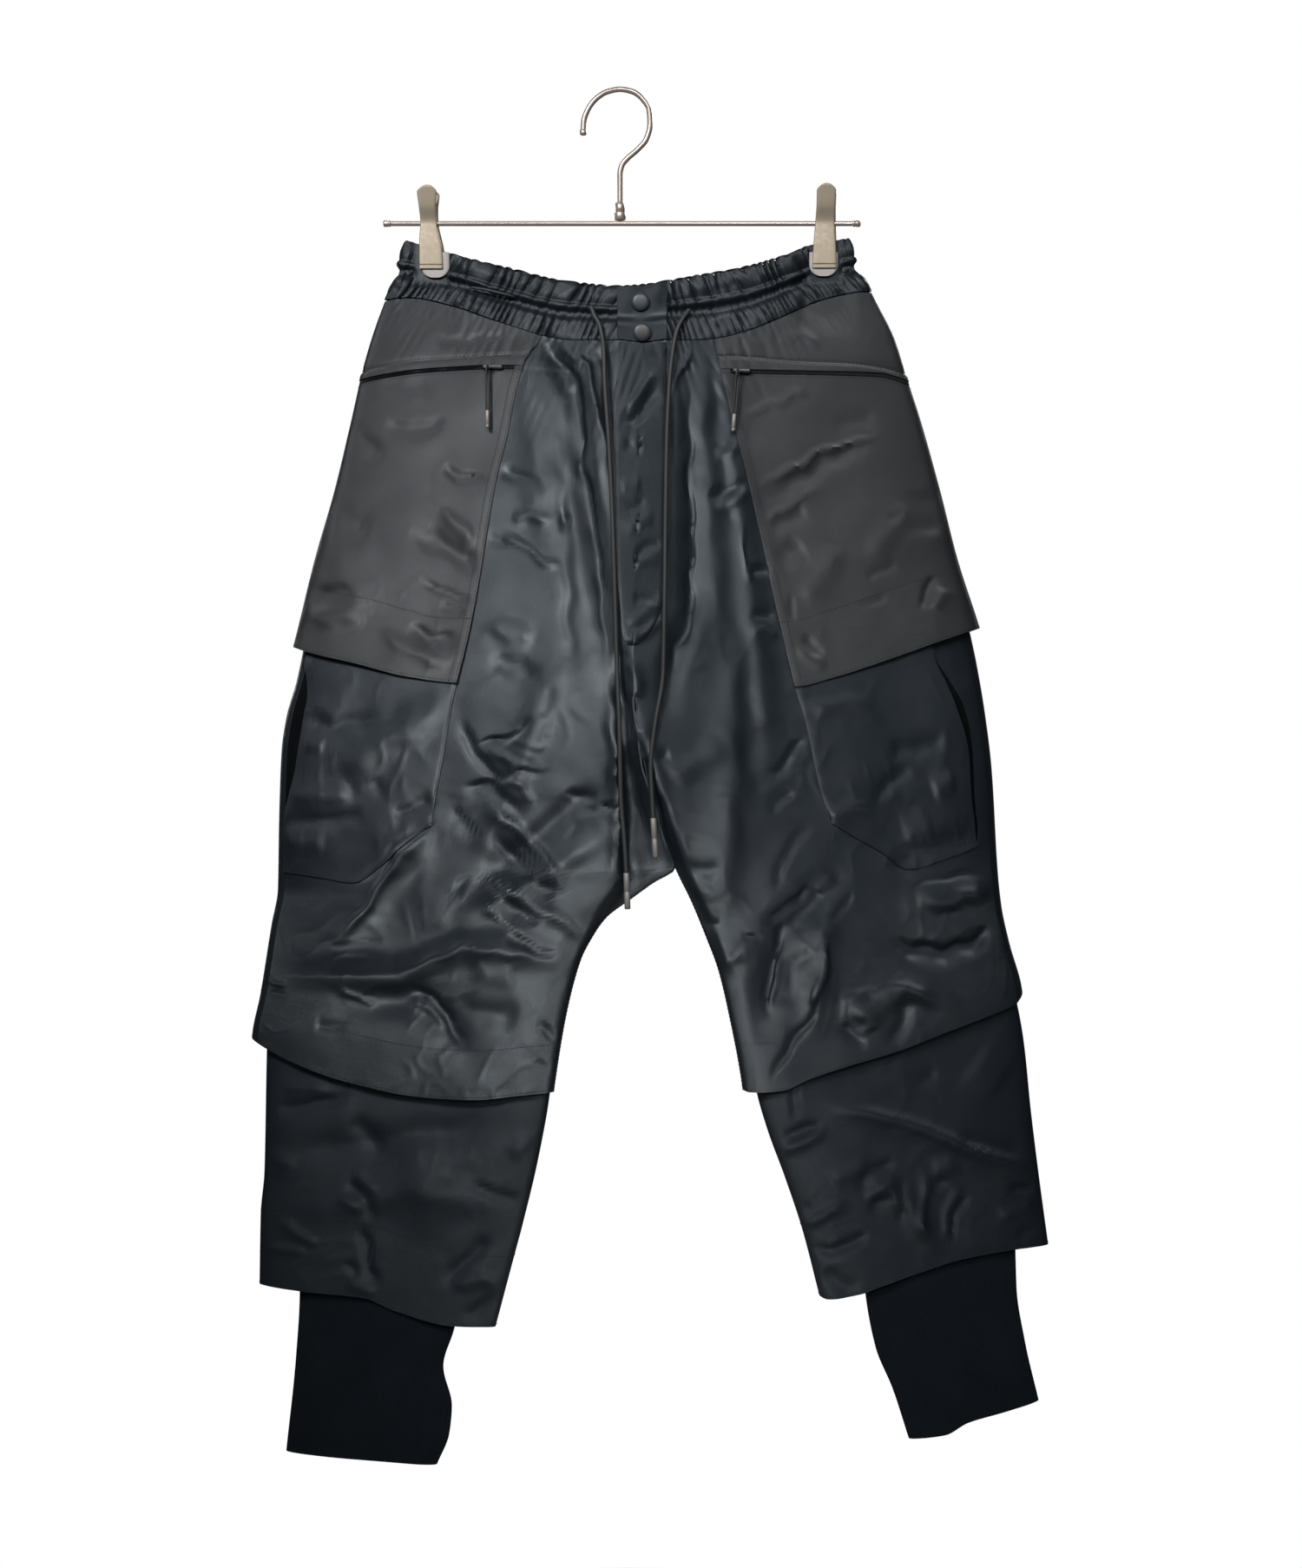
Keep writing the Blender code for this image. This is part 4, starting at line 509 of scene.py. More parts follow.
LEG_CREASES = [
    ("left leg", [
        (4.9, 1.5, 1, [(-272, -810), (-251, -807), (-231, -811)]),
        (4.2, -2.1, 0.7, [(-277, -826), (-253, -821), (-218, -815)]),
        (7.7, -1.9, 1, [(-221, -832), (-200, -846), (-192, -873)]),
        (4.2, 1.6, 0.7, [(-213, -874), (-197, -891)]),
        (4.9, -2.4, 0.7, [(-221, -882), (-206, -896), (-197, -916)]),
        (3.5, 1.3, 1, [(-225, -895), (-209, -908)]),
        (4.2, -2.4, 0.6, [(-206, -917), (-202, -945), (-199, -969)]),
        (4.2, 1.7, 0.6, [(-277, -913), (-259, -927), (-238, -936)]),
        (3.5, 1, 1, [(-291, -938), (-253, -940)]),
        (3.5, -1.2, 1, [(-225, -948), (-211, -961)]),
        (3.5, 1.2, 1, [(-221, -964), (-197, -975)]),
        (6.3, -2.2, 0.8, [(-104, -927), (-122, -947), (-144, -968)]),
        (5.6, 1.6, 1, [(-139, -968), (-111, -962), (-85, -973)]),
        (5.6, -1.7, 1, [(-98, -976), (-125, -997)]),
        (4.2, -1.8, 0.8, [(-122, -884), (-97, -896), (-77, -901)]),
        (5.6, 1.6, 1, [(-88, -864), (-71, -846)]),
        (16.8, 2.2, 1, [(-171, -840), (-157, -882), (-150, -938)]),
        (6.3, 1.2, 1, [(-290, -861), (-262, -872)]),
    ]),
    ("right leg", [
        (4.9, 2.8, 0.45, [(164, -821), (200, -827), (235, -835), (270, -850), (305, -864), (339, -875)]),
        (5.6, -1.9, 1, [(273, -846), (301, -853), (333, -863)]),
        (4.9, -1.3, 1, [(237, -807), (255, -794)]),
        (4.9, -1.9, 0.7, [(190, -892), (203, -875), (223, -867)]),
        (3.5, 1.7, 0.7, [(196, -898), (223, -882)]),
        (3.5, -1.7, 1, [(200, -906), (223, -894)]),
        (2.8, -1.7, 1, [(228, -880), (228, -919)]),
        (4.2, 2.1, 0.6, [(248, -874), (244, -903), (249, -934)]),
        (3.5, 1.6, 0.6, [(276, -884), (266, -910), (265, -933)]),
        (2.8, -1.5, 1, [(279, -891), (270, -913), (267, -934)]),
        (4.2, -2.1, 0.7, [(312, -888), (339, -891)]),
        (4.2, 1.4, 1, [(305, -913), (337, -902)]),
        (4.9, -1.5, 1, [(321, -927), (343, -919)]),
        (4.9, 2.3, 0.6, [(130, -863), (150, -850), (167, -840)]),
        (3.5, -1.8, 1, [(130, -850), (148, -841), (164, -840)]),
        (2.8, -1.6, 1, [(140, -805), (144, -835)]),
        (6.3, 1.4, 1, [(169, -884), (202, -867)]),
        (4.9, -1.5, 1, [(130, -902), (158, -908)]),
        (4.2, 2.1, 0.6, [(143, -920), (165, -911), (185, -899)]),
        (4.2, -1.7, 1, [(148, -938), (176, -940), (202, -923)]),
        (8.4, -1.8, 1, [(161, -958), (192, -975)]),
        (6.3, 1.3, 1, [(253, -873), (274, -870)]),
        (4.2, -1.2, 1, [(251, -888), (265, -882)]),
        (18.2, 2, 1, [(284, -784), (312, -805)]),
    ]),
]
BACK_DROP = 17


def in_one_list(areas, left_out=(), drop=0):
    """The folds of all areas but those left out, moved down by `drop`."""
    return [(half_width, lift, sharpness, [(x, z - drop) for x, z in route])
            for area, folds in areas if area not in left_out for half_width, lift, sharpness, route in folds]


FINE_FRONT = in_one_list(FRONT_CREASES)
FINE_BACK = in_one_list(FRONT_CREASES, ("fly", "yoke"), BACK_DROP)
FINE_SHIN = in_one_list(LEG_CREASES)
print(len(MAIN_FRONT) + len(FINE_FRONT), "folds in front,", len(MAIN_BACK) + len(FINE_BACK), "behind")


# %% Smooth tables and steps
def smooth_table(rows, at):
    """Reads a two-column table with smooth slopes that never overshoot its rows."""
    rows = sorted(rows)
    xs = np.array([row[0] for row in rows], float)
    ys = np.array([row[1] for row in rows], float)
    steps = np.diff(xs)
    slopes = np.diff(ys) / steps
    tangents = np.concatenate([slopes[:1], np.zeros(len(xs) - 2), slopes[-1:]])
    same_way = slopes[:-1] * slopes[1:] > 0
    both = slopes[:-1] + slopes[1:]
    tangents[1:-1][same_way] = 2 * (slopes[:-1] * slopes[1:])[same_way] / both[same_way]
    at = np.clip(at, xs[0], xs[-1])
    row = np.clip(np.searchsorted(xs, at) - 1, 0, len(xs) - 2)
    width = steps[row]
    t = (at - xs[row]) / width
    start = (2 * t**3 - 3 * t**2 + 1) * ys[row] + (t**3 - 2 * t**2 + t) * width * tangents[row]
    end = (3 * t**2 - 2 * t**3) * ys[row + 1] + (t**3 - t**2) * width * tangents[row + 1]
    return start + end


def read_column(rows, number, at):
    """Reads one column of a table that has more than two, by its first."""
    return smooth_table([(row[0], row[number]) for row in rows], at)


def ease(value):
    """0 below 0, 1 above 1 and a soft step between."""
    value = np.clip(value, 0.0, 1.0)
    return value * value * (3 - 2 * value)


def ripple(x, z, wavelength, seed, waves=14):
    """Even noise between about -1 and 1: a sum of waves that run every way."""
    random = np.random.default_rng(seed)
    total = np.zeros(np.broadcast(x, z).shape)
    for _ in range(waves):
        turn = random.uniform(0, 2 * math.pi)
        number = 2 * math.pi / (wavelength * random.uniform(0.7, 1.6))
        phase = random.uniform(0, 2 * math.pi)
        total = total + np.cos(number * (x * math.cos(turn) + z * math.sin(turn)) + phase)
    return total / math.sqrt(waves)


print("ripple at the fly:", round(float(ripple(20.0, -300.0, 60.0, 5)), 3))


# %% How far the folds lift the cloth
def fold_height(folds, x, z, end_share=0.35):
    """Sum of the folds at x, z; at a route's ends `end_share` of its height is left."""
    height = np.zeros(np.shape(x))
    for *_name, half_width, lift, sharpness, route in folds:
        nearest = np.full(np.shape(x), 1e9)
        along = np.zeros(np.shape(x))
        to_left = np.zeros(np.shape(x))
        for number in range(len(route) - 1):
            start = np.array(route[number], float)
            run = np.array(route[number + 1], float) - start
            share = ((x - start[0]) * run[0] + (z - start[1]) * run[1]) / run.dot(run)
            share = np.clip(share, 0.0, 1.0)
            off_x = x - start[0] - share * run[0]
            off_z = z - start[1] - share * run[1]
            away = np.hypot(off_x, off_z)
            closer = away < nearest
            nearest = np.where(closer, away, nearest)
            along = np.where(closer, (number + share) / (len(route) - 1), along)
            to_left = np.where(closer, (run[0] * off_z - run[1] * off_x) / np.sqrt(run.dot(run)), to_left)
        ends = ease(along / 0.25) * ease((1 - along) / 0.25)
        left = 0.5 + 0.5 * np.tanh(to_left / (0.4 * half_width))
        width = half_width * (1 - left * (1 - sharpness))
        height += lift * np.exp(-((nearest / width) ** 2)) * (end_share + (1 - end_share) * ends)
    return height


def crumple(x, z, wavelength, seed):
    """Patches of low ridges that run every way, between 0 and 1, as cloth keeps from being folded away."""
    warp = wavelength * 0.25
    bent_x = x + warp * ripple(x, z, wavelength * 2.2, seed + 1, 8)
    bent_z = z + warp * ripple(x, z, wavelength * 2.2, seed + 2, 8)
    ridge = 1 - np.minimum(1.0, 1.6 * np.abs(ripple(bent_x, bent_z, wavelength, seed, 8)))
    patch = ease(0.5 + 0.6 * ripple(x, z, wavelength * 2.5, seed + 3, 8))
    return ridge**1.5 * patch


def section_table():
    """Half a flattened section by its length around: places, share of the half width, share of the depth."""
    turn = np.linspace(0.0, math.pi / 2, 3000)
    across = np.sin(turn) ** (2 / SECTION_POWER)
    deep = np.cos(turn) ** (2 / SECTION_POWER)
    steps = np.hypot(np.diff(across) * USUAL_HALF_WIDTH, np.diff(deep) * USUAL_HALF_DEPTH)
    around = np.concatenate([[0.0], np.cumsum(steps)])
    return around / around[-1], across, deep


AROUND, ACROSS, DEEP = section_table()
print("fold at the left knee:", round(float(fold_height(MAIN_FRONT, np.array([-178.0]), np.array([-717.0]))[0]), 2))


# %% A point on the body, the lower leg or the cuff
FOLD_RUN_OUT = 22


def is_behind(s):
    """True at places behind, false in front."""
    return (s + 1) % 4 - 1 > 1


def middle_and_half(side, z, inner_rows=BODY_INNER, outer_rows=BODY_OUTER):
    """Middle of a sleeve at a height, and the step from there to its outer edge."""
    inner = smooth_table(inner_rows[side], z)
    outer = smooth_table(outer_rows[side], z)
    return (inner + outer) / 2, (outer - inner) / 2


def place_around(across):
    """The place s on the front for a share of the half width from -1 to 1."""
    return np.sign(across) * np.interp(np.abs(across), ACROSS, AROUND)


def section(s, crotch_open):
    """Share of the half width, share of the half depth and the face (-1 front, 1 back) at a place s."""
    s = (s + 1) % 4 - 1
    face = np.where(s <= 1, -1.0, 1.0)
    t = np.where(s <= 1, s, 2 - s)
    across = np.sign(t) * np.interp(np.abs(t), AROUND, ACROSS)
    deep = np.interp(np.abs(t), AROUND, DEEP) ** SECTION_POWER
    held_open = crotch_open**SECTION_POWER
    deep = np.where(t < 0, deep * (1 - held_open) + held_open, deep)
    return across, deep ** (1 / SECTION_POWER), face


def clip_press(x, z):
    """Factor on the depth where the clips press the waist flat."""
    factor = 1.0
    low = ease((z - CLIP_PRESS_END) / (CLIP_PRESS_TOP - CLIP_PRESS_END))
    for clip in CLIP_X.values():
        near = 1 - ease((np.abs(x - clip) - CLIP_PRESSED) / (CLIP_RUN_OUT - CLIP_PRESSED))
        factor = factor - CLIP_PRESS * near * low
    return factor


def tuck(side, x, z):
    """How far the front is folded back beside the crotch."""
    if side == "l":
        inside = ease((x - smooth_table(TUCK_EDGE, z) + 4) / 13)
    else:
        inside = 1 - ease((x - smooth_table(BODY_INNER["r"], z)) / 12)
    return smooth_table(TUCK_DEPTH, z) * inside


def crotch_open(z):
    """1 where the two sides are one tube, falling to 0 at the crotch point as a quarter round."""
    down = np.clip((CROTCH_TOP - z) / (CROTCH_TOP - CROTCH_POINT), 0.0, 1.0)
    return np.sqrt(1 - down**2)


def body_point(side, s, z):
    """A point on the body sleeve."""
    middle, half = middle_and_half(side, z)
    opened = crotch_open(z)
    across, deep, face = section(s, opened)
    x = middle + half * across
    depth = smooth_table(BODY_DEPTH, z) * clip_press(x, z)
    depth = np.where(face < 0, depth - tuck(side, x, z), depth)
    lift = np.where(face < 0, fold_height(MAIN_FRONT, x, z), fold_height(MAIN_BACK, x, z))
    away_from_side = ease((1 - across) * np.abs(half) / FOLD_RUN_OUT)
    away_from_crotch = np.maximum(opened, ease((1 + across) * np.abs(half) / FOLD_RUN_OUT))
    y = face * (depth * deep + lift * away_from_side * away_from_crotch)
    return np.stack([x, y, z + 0 * x], -1)


def leg_point(side, s, z, inner_rows, outer_rows, depth_rows, folds):
    """A point on a sleeve below the crotch."""
    middle, half = middle_and_half(side, z, inner_rows, outer_rows)
    across, deep, face = section(s, 0.0 * z)
    x = middle + half * across
    lift = fold_height(folds, x, z) * ease((1 - np.abs(across)) * np.abs(half) / FOLD_RUN_OUT)
    y = face * (smooth_table(depth_rows, z) * deep + lift)
    return np.stack([x, y, z + 0 * x], -1)


def shin_point(side, s, z):
    """A point on the lower leg."""
    return leg_point(side, s, z, SHIN_INNER, SHIN_OUTER, SHIN_DEPTH, MAIN_SHIN)


def cuff_point(side, s, z):
    """A point on the rib cuff."""
    return leg_point(side, s, z, CUFF_INNER, CUFF_OUTER, CUFF_DEPTH, [])


print("body point:", body_point("l", np.array([0.0]), np.array([-400.0]))[0].round(1))


# %% Outward steps, level lines and seams
NEAR_S, NEAR_Z = 0.03, 3.0
HALF_GAP = SEAM / 2 / USUAL_HALF_WIDTH


def outward(point_at, side, s, z):
    """Unit vectors that point out of a sleeve."""
    around = point_at(side, s + NEAR_S, z) - point_at(side, s - NEAR_S, z)
    up = point_at(side, s, z + NEAR_Z) - point_at(side, s, z - NEAR_Z)
    normal = np.cross(around, up)
    if side == "l":
        normal = -normal
    return normal / np.linalg.norm(normal, axis=-1, keepdims=True)


def moved_out(point_at, side, s, z, distance):
    """Points of a sleeve, moved out along its normals."""
    distance = np.asarray(distance, float)[..., None]
    return point_at(side, s, z) + outward(point_at, side, s, z) * distance


def level(side, name, x):
    """Height of a named level line at x."""
    return smooth_table(LEVELS[side][name], x)


def line(side, name, shift=0.0):
    """A level line as a function of x, moved up by `shift`."""
    return lambda x: level(side, name, x) + shift


def front_place(side, x, z):
    """Place s on the front of the body at x, z."""
    middle, half = middle_and_half(side, z)
    return place_around(np.clip((x - middle) / half, -1, 1))


def at_x(side, table, shift=0.0):
    """Place s on the front at the x that a table gives for a height."""
    return lambda z: front_place(side, smooth_table(table, z) + shift, z)


def from_side(side, inset, z):
    """Place s on the front that lies `inset` inside the outline."""
    _middle, half = middle_and_half(side, z)
    return place_around(1 - inset / np.abs(half))


def at_s(value):
    """A seam that stays at one place s."""
    return lambda z: np.full(np.shape(z), float(value))


def side_seam(side, shift):
    """The seam down a side, a little inside the outline in front."""
    return lambda z: from_side(side, SIDE_SEAM_INSET, z) + shift


def hip_wrap(side):
    """Where the hip pieces end behind."""
    return lambda z: 2 - from_side(side, HIP_WRAP, z)


print("left hem at x = -200:", round(float(level("l", "hem", -200.0)), 1))


# %% [markdown]
# ## Grids
# A panel's grid has a row on each level line and a column on each seam, with even steps between them. Rows wander
# with x and columns with z, so the two are settled against each other a few times, as one eases a paper pattern
# round a dress form.

# %% Grid of a panel
SETTLINGS = 12
START_Z = -400.0


def even_steps(counts):
    """Each step as a line's number and the share of the way to the next line."""
    return [(n, step / count) for n, count in enumerate(counts) for step in range(count)] + [(len(counts), 0.0)]


def lay_rows(z, x, lines, steps):
    """Sets each row's height between its two level lines."""
    for row, (number, share) in enumerate(steps):
        below = lines[min(number + 1, len(lines) - 1)](x[row])
        z[row] = (1 - share) * lines[number](x[row]) + share * below


def settle(side, places, counts, lines, row_counts):
    """Places and heights where `places` (with counts of columns between) cross `lines` (with counts of rows)."""
    place_steps, line_steps = even_steps(counts), even_steps(row_counts)
    z = np.full((len(line_steps), len(place_steps)), START_Z)
    s = np.zeros(z.shape)
    for _ in range(SETTLINGS):
        for column, (number, share) in enumerate(place_steps):
            here = z[:, column]
            after = places[min(number + 1, len(places) - 1)](here)
            s[:, column] = (1 - share) * places[number](here) + share * after
        lay_rows(z, body_point(side, s, z)[..., 0], lines, line_steps)
    return s, z


print("a panel's rows and columns are settled", SETTLINGS, "times")


# %% A shell from two grids of points
WALLS = {}
SHARP_FROM = 58
EVENED_ROWS = 41


def add_mesh(name, points, faces, material, body=TROUSERS, uv=None):
    """Makes a piece from points in millimetres that rides on a body."""
    mesh = bpy.data.meshes.new(name)
    mesh.vertices.add(len(points))
    mesh.vertices.foreach_set("co", (np.asarray(points, float) * MM).ravel())
    faces = [np.asarray(face, int) for face in faces]
    sizes = np.array([len(face) for face in faces])
    corners = np.concatenate(faces)
    mesh.loops.add(len(corners))
    mesh.loops.foreach_set("vertex_index", corners)
    mesh.polygons.add(len(faces))
    mesh.polygons.foreach_set("loop_start", np.concatenate([[0], np.cumsum(sizes)[:-1]]))
    mesh.update(calc_edges=True)
    mesh.validate()
    mesh.shade_smooth()
    mesh.set_sharp_from_angle(angle=math.radians(SHARP_FROM))
    if uv is not None:
        layer = mesh.uv_layers.new(name="cloth")
        layer.data.foreach_set("uv", np.asarray(uv, float)[corners].ravel())
    mesh.materials.append(material)
    made = put_in_scene(name, mesh)
    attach(made, body)
    return made


def shell(name, outer, inner, material, closed=False):
    """A sheet with thickness between two grids; `closed` joins the last column to the first."""
    rows, columns = outer.shape[:2]
    count = rows * columns
    points = np.concatenate([outer.reshape(-1, 3), inner.reshape(-1, 3)])
    last = columns if closed else columns - 1
    row, column = np.meshgrid(np.arange(rows - 1), np.arange(last), indexing="ij")
    a = (row * columns + column).ravel()
    b = (row * columns + (column + 1) % columns).ravel()
    faces = np.stack([a, b, b + columns, a + columns], 1)
    faces = np.concatenate([faces, (faces + count)[:, ::-1]])
    top = np.arange(last)
    rim = [(top, (top + 1) % columns), ((rows - 1) * columns + (top + 1) % columns, (rows - 1) * columns + top)]
    if not closed:
        down = np.arange(1, rows)
        rim += [(down * columns, (down - 1) * columns)]
        rim += [((down - 1) * columns + columns - 1, down * columns + columns - 1)]
    for start, end in rim:
        faces = np.concatenate([faces, np.stack([end, start, start + count, end + count], 1)])
    corner = points[faces]
    volume = np.einsum("ij,ij->", corner[:, 0], np.cross(corner[:, 1] - corner[:, 0], corner[:, 2] - corner[:, 0]))
    if volume < 0:
        faces = faces[:, ::-1]
    around = (EVENED_ROWS // 2 + 1, EVENED_ROWS // 2)
    step = np.pad(np.linalg.norm(np.diff(outer, axis=1), axis=-1), (around, (0, 0)), mode="edge")
    total = np.cumsum(step, 0)
    evened = (total[EVENED_ROWS:] - total[:-EVENED_ROWS]) / EVENED_ROWS
    across = np.concatenate([np.zeros((rows, 1)), np.cumsum(evened, 1)], 1)
    uv = np.stack([across, outer[..., 2]], -1).reshape(-1, 2) * MM
    made = add_mesh(name, points, faces, material, uv=np.concatenate([uv, uv]))
    WALLS[name] = (outer, inner)
    area = sheet_area(outer)
    print(f"{name}: {len(faces)} faces, {area * 1e-6:.4f} m2")
    return made, area


def sewn_edge(grid, edges, reach=2.6, least=0.45):
    """Share of the full thickness: small along the sewn edges of a grid, full `reach` mm away from them."""
    across = np.cumsum(np.linalg.norm(np.diff(grid, axis=1, prepend=grid[:, :1]), axis=-1), 1)
    down = np.cumsum(np.linalg.norm(np.diff(grid, axis=0, prepend=grid[:1]), axis=-1), 0)
    distances = {"first": across, "last": across[:, -1:] - across, "top": down, "bottom": down[-1:] - down}
    share = np.ones(across.shape)
    for edge in edges:
        share = np.minimum(share, least + (1 - least) * ease(distances[edge] / reach))
    return share


def sheet_area(grid):
    """Area of a grid of points in square millimetres."""
    one = np.cross(grid[1:, :-1] - grid[:-1, :-1], grid[:-1, 1:] - grid[:-1, :-1])
    two = np.cross(grid[1:, :-1] - grid[1:, 1:], grid[:-1, 1:] - grid[1:, 1:])
    return float((np.linalg.norm(one, axis=-1).sum() + np.linalg.norm(two, axis=-1).sum()) / 2)


print("edges are sharp from", SHARP_FROM, "degrees")


# %% [markdown]
# ## Satin, rib and thread
# Satin shines because its long floats lie side by side. Close up it shows fine upright streaks where threads
# differ a little, and a very fine diagonal. One node group makes both, from the cloth's own millimetres, and each
# cloth places it with its own strength. The base stays almost black: what reads as grey is the shine.


# %% A node group for woven cloth
def add_node(tree, kind, **inputs):
    """A node with its unlinked inputs set by name."""
    node = tree.nodes.new(kind)
    for name, value in inputs.items():
        node.inputs[name.replace("_", " ")].default_value = value
    return node


def maths(tree, operation, *values):
    """A maths node with its inputs set in order; None leaves one to a link."""
    node = tree.nodes.new("ShaderNodeMath")
    node.operation = operation
    for number, value in enumerate(values):
        if value is not None:
            node.inputs[number].default_value = value
    return node


def make_weave_group():
    """Streaks and a fine diagonal from the cloth's UV in metres: puts out a tone around 1 and a height."""
    group = bpy.data.node_groups.new("woven streaks", "ShaderNodeTree")
    for name, usual in (("Streaks", 0.3), ("Threads per metre", 1500.0)):
        group.interface.new_socket(name, in_out="INPUT", socket_type="NodeSocketFloat").default_value = usual
    for name in ("Tone", "Height"):
        group.interface.new_socket(name, in_out="OUTPUT", socket_type="NodeSocketFloat")
    taken = group.nodes.new("NodeGroupInput")
    given = group.nodes.new("NodeGroupOutput")
    uv = group.nodes.new("ShaderNodeUVMap")
    uv.uv_map = "cloth"
    long_threads = add_node(group, "ShaderNodeMapping", Scale=(900.0, 140.0, 1.0))
    streak = add_node(group, "ShaderNodeTexNoise", Scale=1.0, Detail=3.0, Roughness=0.7)
    cloud = add_node(group, "ShaderNodeTexNoise", Scale=28.0, Detail=2.0, Roughness=0.5)
    centred = maths(group, "SUBTRACT", None, 0.5)
    scaled = maths(group, "MULTIPLY")
    added = maths(group, "ADD", None, 1.0)
    cloud_centred = maths(group, "MULTIPLY_ADD", None, 0.30, -0.15)
    total = maths(group, "ADD")
    raised = maths(group, "MULTIPLY_ADD", None, 2.0)
    diagonal = group.nodes.new("ShaderNodeTexWave")
    diagonal.bands_direction = "DIAGONAL"
    join(group, (uv, "UV", long_threads, "Vector"), (long_threads, "Vector", streak, "Vector"),
         (uv, "UV", cloud, "Vector"), (streak, "Fac", centred, 0), (centred, 0, scaled, 0),
         (taken, "Streaks", scaled, 1), (scaled, 0, added, 0), (cloud, "Fac", cloud_centred, 0),
         (added, 0, total, 0), (cloud_centred, 0, total, 1), (total, 0, given, "Tone"),
         (uv, "UV", diagonal, "Vector"), (taken, "Threads per metre", diagonal, "Scale"),
         (streak, "Fac", raised, 0), (diagonal, "Fac", raised, 2), (raised, 0, given, "Height"))
    return group


WEAVE = make_weave_group()
# The cool tint of the satins' sheen is painted light: it stands in for a cool light in the shade; the hips' sheen is
# left neutral.
COOL_GLOSS = (0.87, 0.95, 1.0)
NEUTRAL_GLOSS = (0.94, 0.965, 1.0)


def make_cloth(name, colour, roughness, streaks, threads, bump, shine=0.5, gloss=COOL_GLOSS):
    """A cloth whose colour and roughness follow the weave's tone."""
    material, tree, shader = new_finish(name)
    shader.inputs["Specular IOR Level"].default_value = shine
    shader.inputs["Specular Tint"].default_value = (*gloss, 1)
    weave = tree.nodes.new("ShaderNodeGroup")
    weave.node_tree = WEAVE
    weave.inputs["Streaks"].default_value = streaks
    weave.inputs["Threads per metre"].default_value = threads
    tint = tree.nodes.new("ShaderNodeMix")
    tint.data_type = "RGBA"
    tint.blend_type = "MULTIPLY"
    tint.inputs["Factor"].default_value = 1.0
    tint.inputs["A"].default_value = (*colour, 1)
    rough = maths(tree, "DIVIDE", roughness)
    relief = add_node(tree, "ShaderNodeBump", Strength=bump, Distance=0.0003)
    join(tree, (weave, "Tone", tint, "B"), (weave, "Tone", rough, 1), (weave, "Height", relief, "Height"),
         (tint, "Result", shader, "Base Color"), (rough, 0, shader, "Roughness"), (relief, "Normal", shader, "Normal"))
    return material


def make_plain(name, colour, roughness, metallic=0.0, grain=60.0, strength=0.15):
    """A hard finish with a fine grain in roughness and relief."""
    material, tree, shader = new_finish(name)
    shader.inputs["Base Color"].default_value = (*colour, 1)
    shader.inputs["Metallic"].default_value = metallic
    place = tree.nodes.new("ShaderNodeTexCoord")
    noise = add_node(tree, "ShaderNodeTexNoise", Scale=grain, Detail=3.0)
    rough = add_node(tree, "ShaderNodeMapRange", To_Min=roughness * 0.75, To_Max=roughness * 1.3)
    relief = add_node(tree, "ShaderNodeBump", Strength=strength, Distance=0.0002)
    join(tree, (place, "Object", noise, "Vector"), (noise, "Fac", rough, "Value"),
         (rough, "Result", shader, "Roughness"), (noise, "Fac", relief, "Height"), (relief, "Normal", shader, "Normal"))
    return material


# The cloths' near-black base colours lean blue: painted light, standing in for a cool light in the shade.
BODY_BLACK = (0.0026, 0.0056, 0.0100)
satin = make_cloth("black_satin", BODY_BLACK, 0.41, 0.60, 1400.0, 0.45, 0.80)
# The hips' satin is painted light: the same cloth with a lighter base colour, more shine and a neutral sheen, so the
# hips read brighter.
hip_satin_painted_light = make_cloth("hip_satin_painted_light", (0.0058, 0.0072, 0.0094), 0.53, 0.60, 1400.0, 0.45, 1.0, NEUTRAL_GLOSS)
# The pocket's satin is painted shade: the same cloth with a little less shine, so the pocket reads a little darker.
pocket_satin_painted_shade = make_cloth("pocket_satin_painted_shade", BODY_BLACK, 0.42, 0.60, 1400.0, 0.45, 0.75)
# The lower legs' satin is painted shade: the same cloth with less shine, so the lower legs read darker where the light
# falls off.
leg_satin_painted_shade = make_cloth("leg_satin_painted_shade", BODY_BLACK, 0.50, 0.50, 1400.0, 0.40, 0.45)
# The band's satin is painted shade: the same cloth with a darker base colour and less shine.
band_satin_painted_shade = make_cloth("band_satin_painted_shade", (0.0028, 0.0046, 0.0075), 0.47, 0.50, 1400.0, 0.30, 0.5)
# The matte black lining is real cloth on the zip tapes and the waist facing, and painted shade where it lies in the
# pockets' openings.
lining_and_shade = make_cloth("lining_and_painted_shade", (0.0020, 0.0024, 0.0030), 0.90, 0.30, 900.0, 0.30, 0.08)
rib_knit = make_cloth("rib_knit", (0.0085, 0.0112, 0.0155), 0.95, 0.25, 600.0, 0.6, 0.12)
thread = make_plain("sewing_thread", (0.010, 0.010, 0.011), 0.55, grain=3000.0, strength=0.4)
zip_black = make_plain("zip_black", (0.006, 0.006, 0.007), 0.4, grain=900.0)
cord_grey = make_plain("cord_grey", (0.016, 0.017, 0.019), 0.6, grain=2600.0, strength=0.6)
tip_grey = make_plain("tip_grey", (0.20, 0.188, 0.176), 0.48, 0.3, grain=500.0)
snap_grey = make_plain("snap_grey", (0.032, 0.033, 0.035), 0.42, 0.3, grain=1500.0, strength=0.3)
clip_metal = make_plain("clip_metal", (0.31, 0.262, 0.196), 0.55, 0.35, grain=400.0, strength=0.05)
pad_pale = make_plain("pad_pale", (0.32, 0.30, 0.29), 0.5, grain=700.0, strength=0.05)
chrome = make_plain("warm_chrome", (0.44, 0.37, 0.33), 0.30, 0.6, grain=300.0, strength=0.0)
print("materials:", len(bpy.data.materials))

# %% [markdown]
# ## Cords and their tips
# A flat black cord runs in a channel round the waist. Its two ends come out of the front and hang free, each with
# a metal tip. They lie on the cloth all the way down, so their route is fixed first, from the eyelet to the tip.

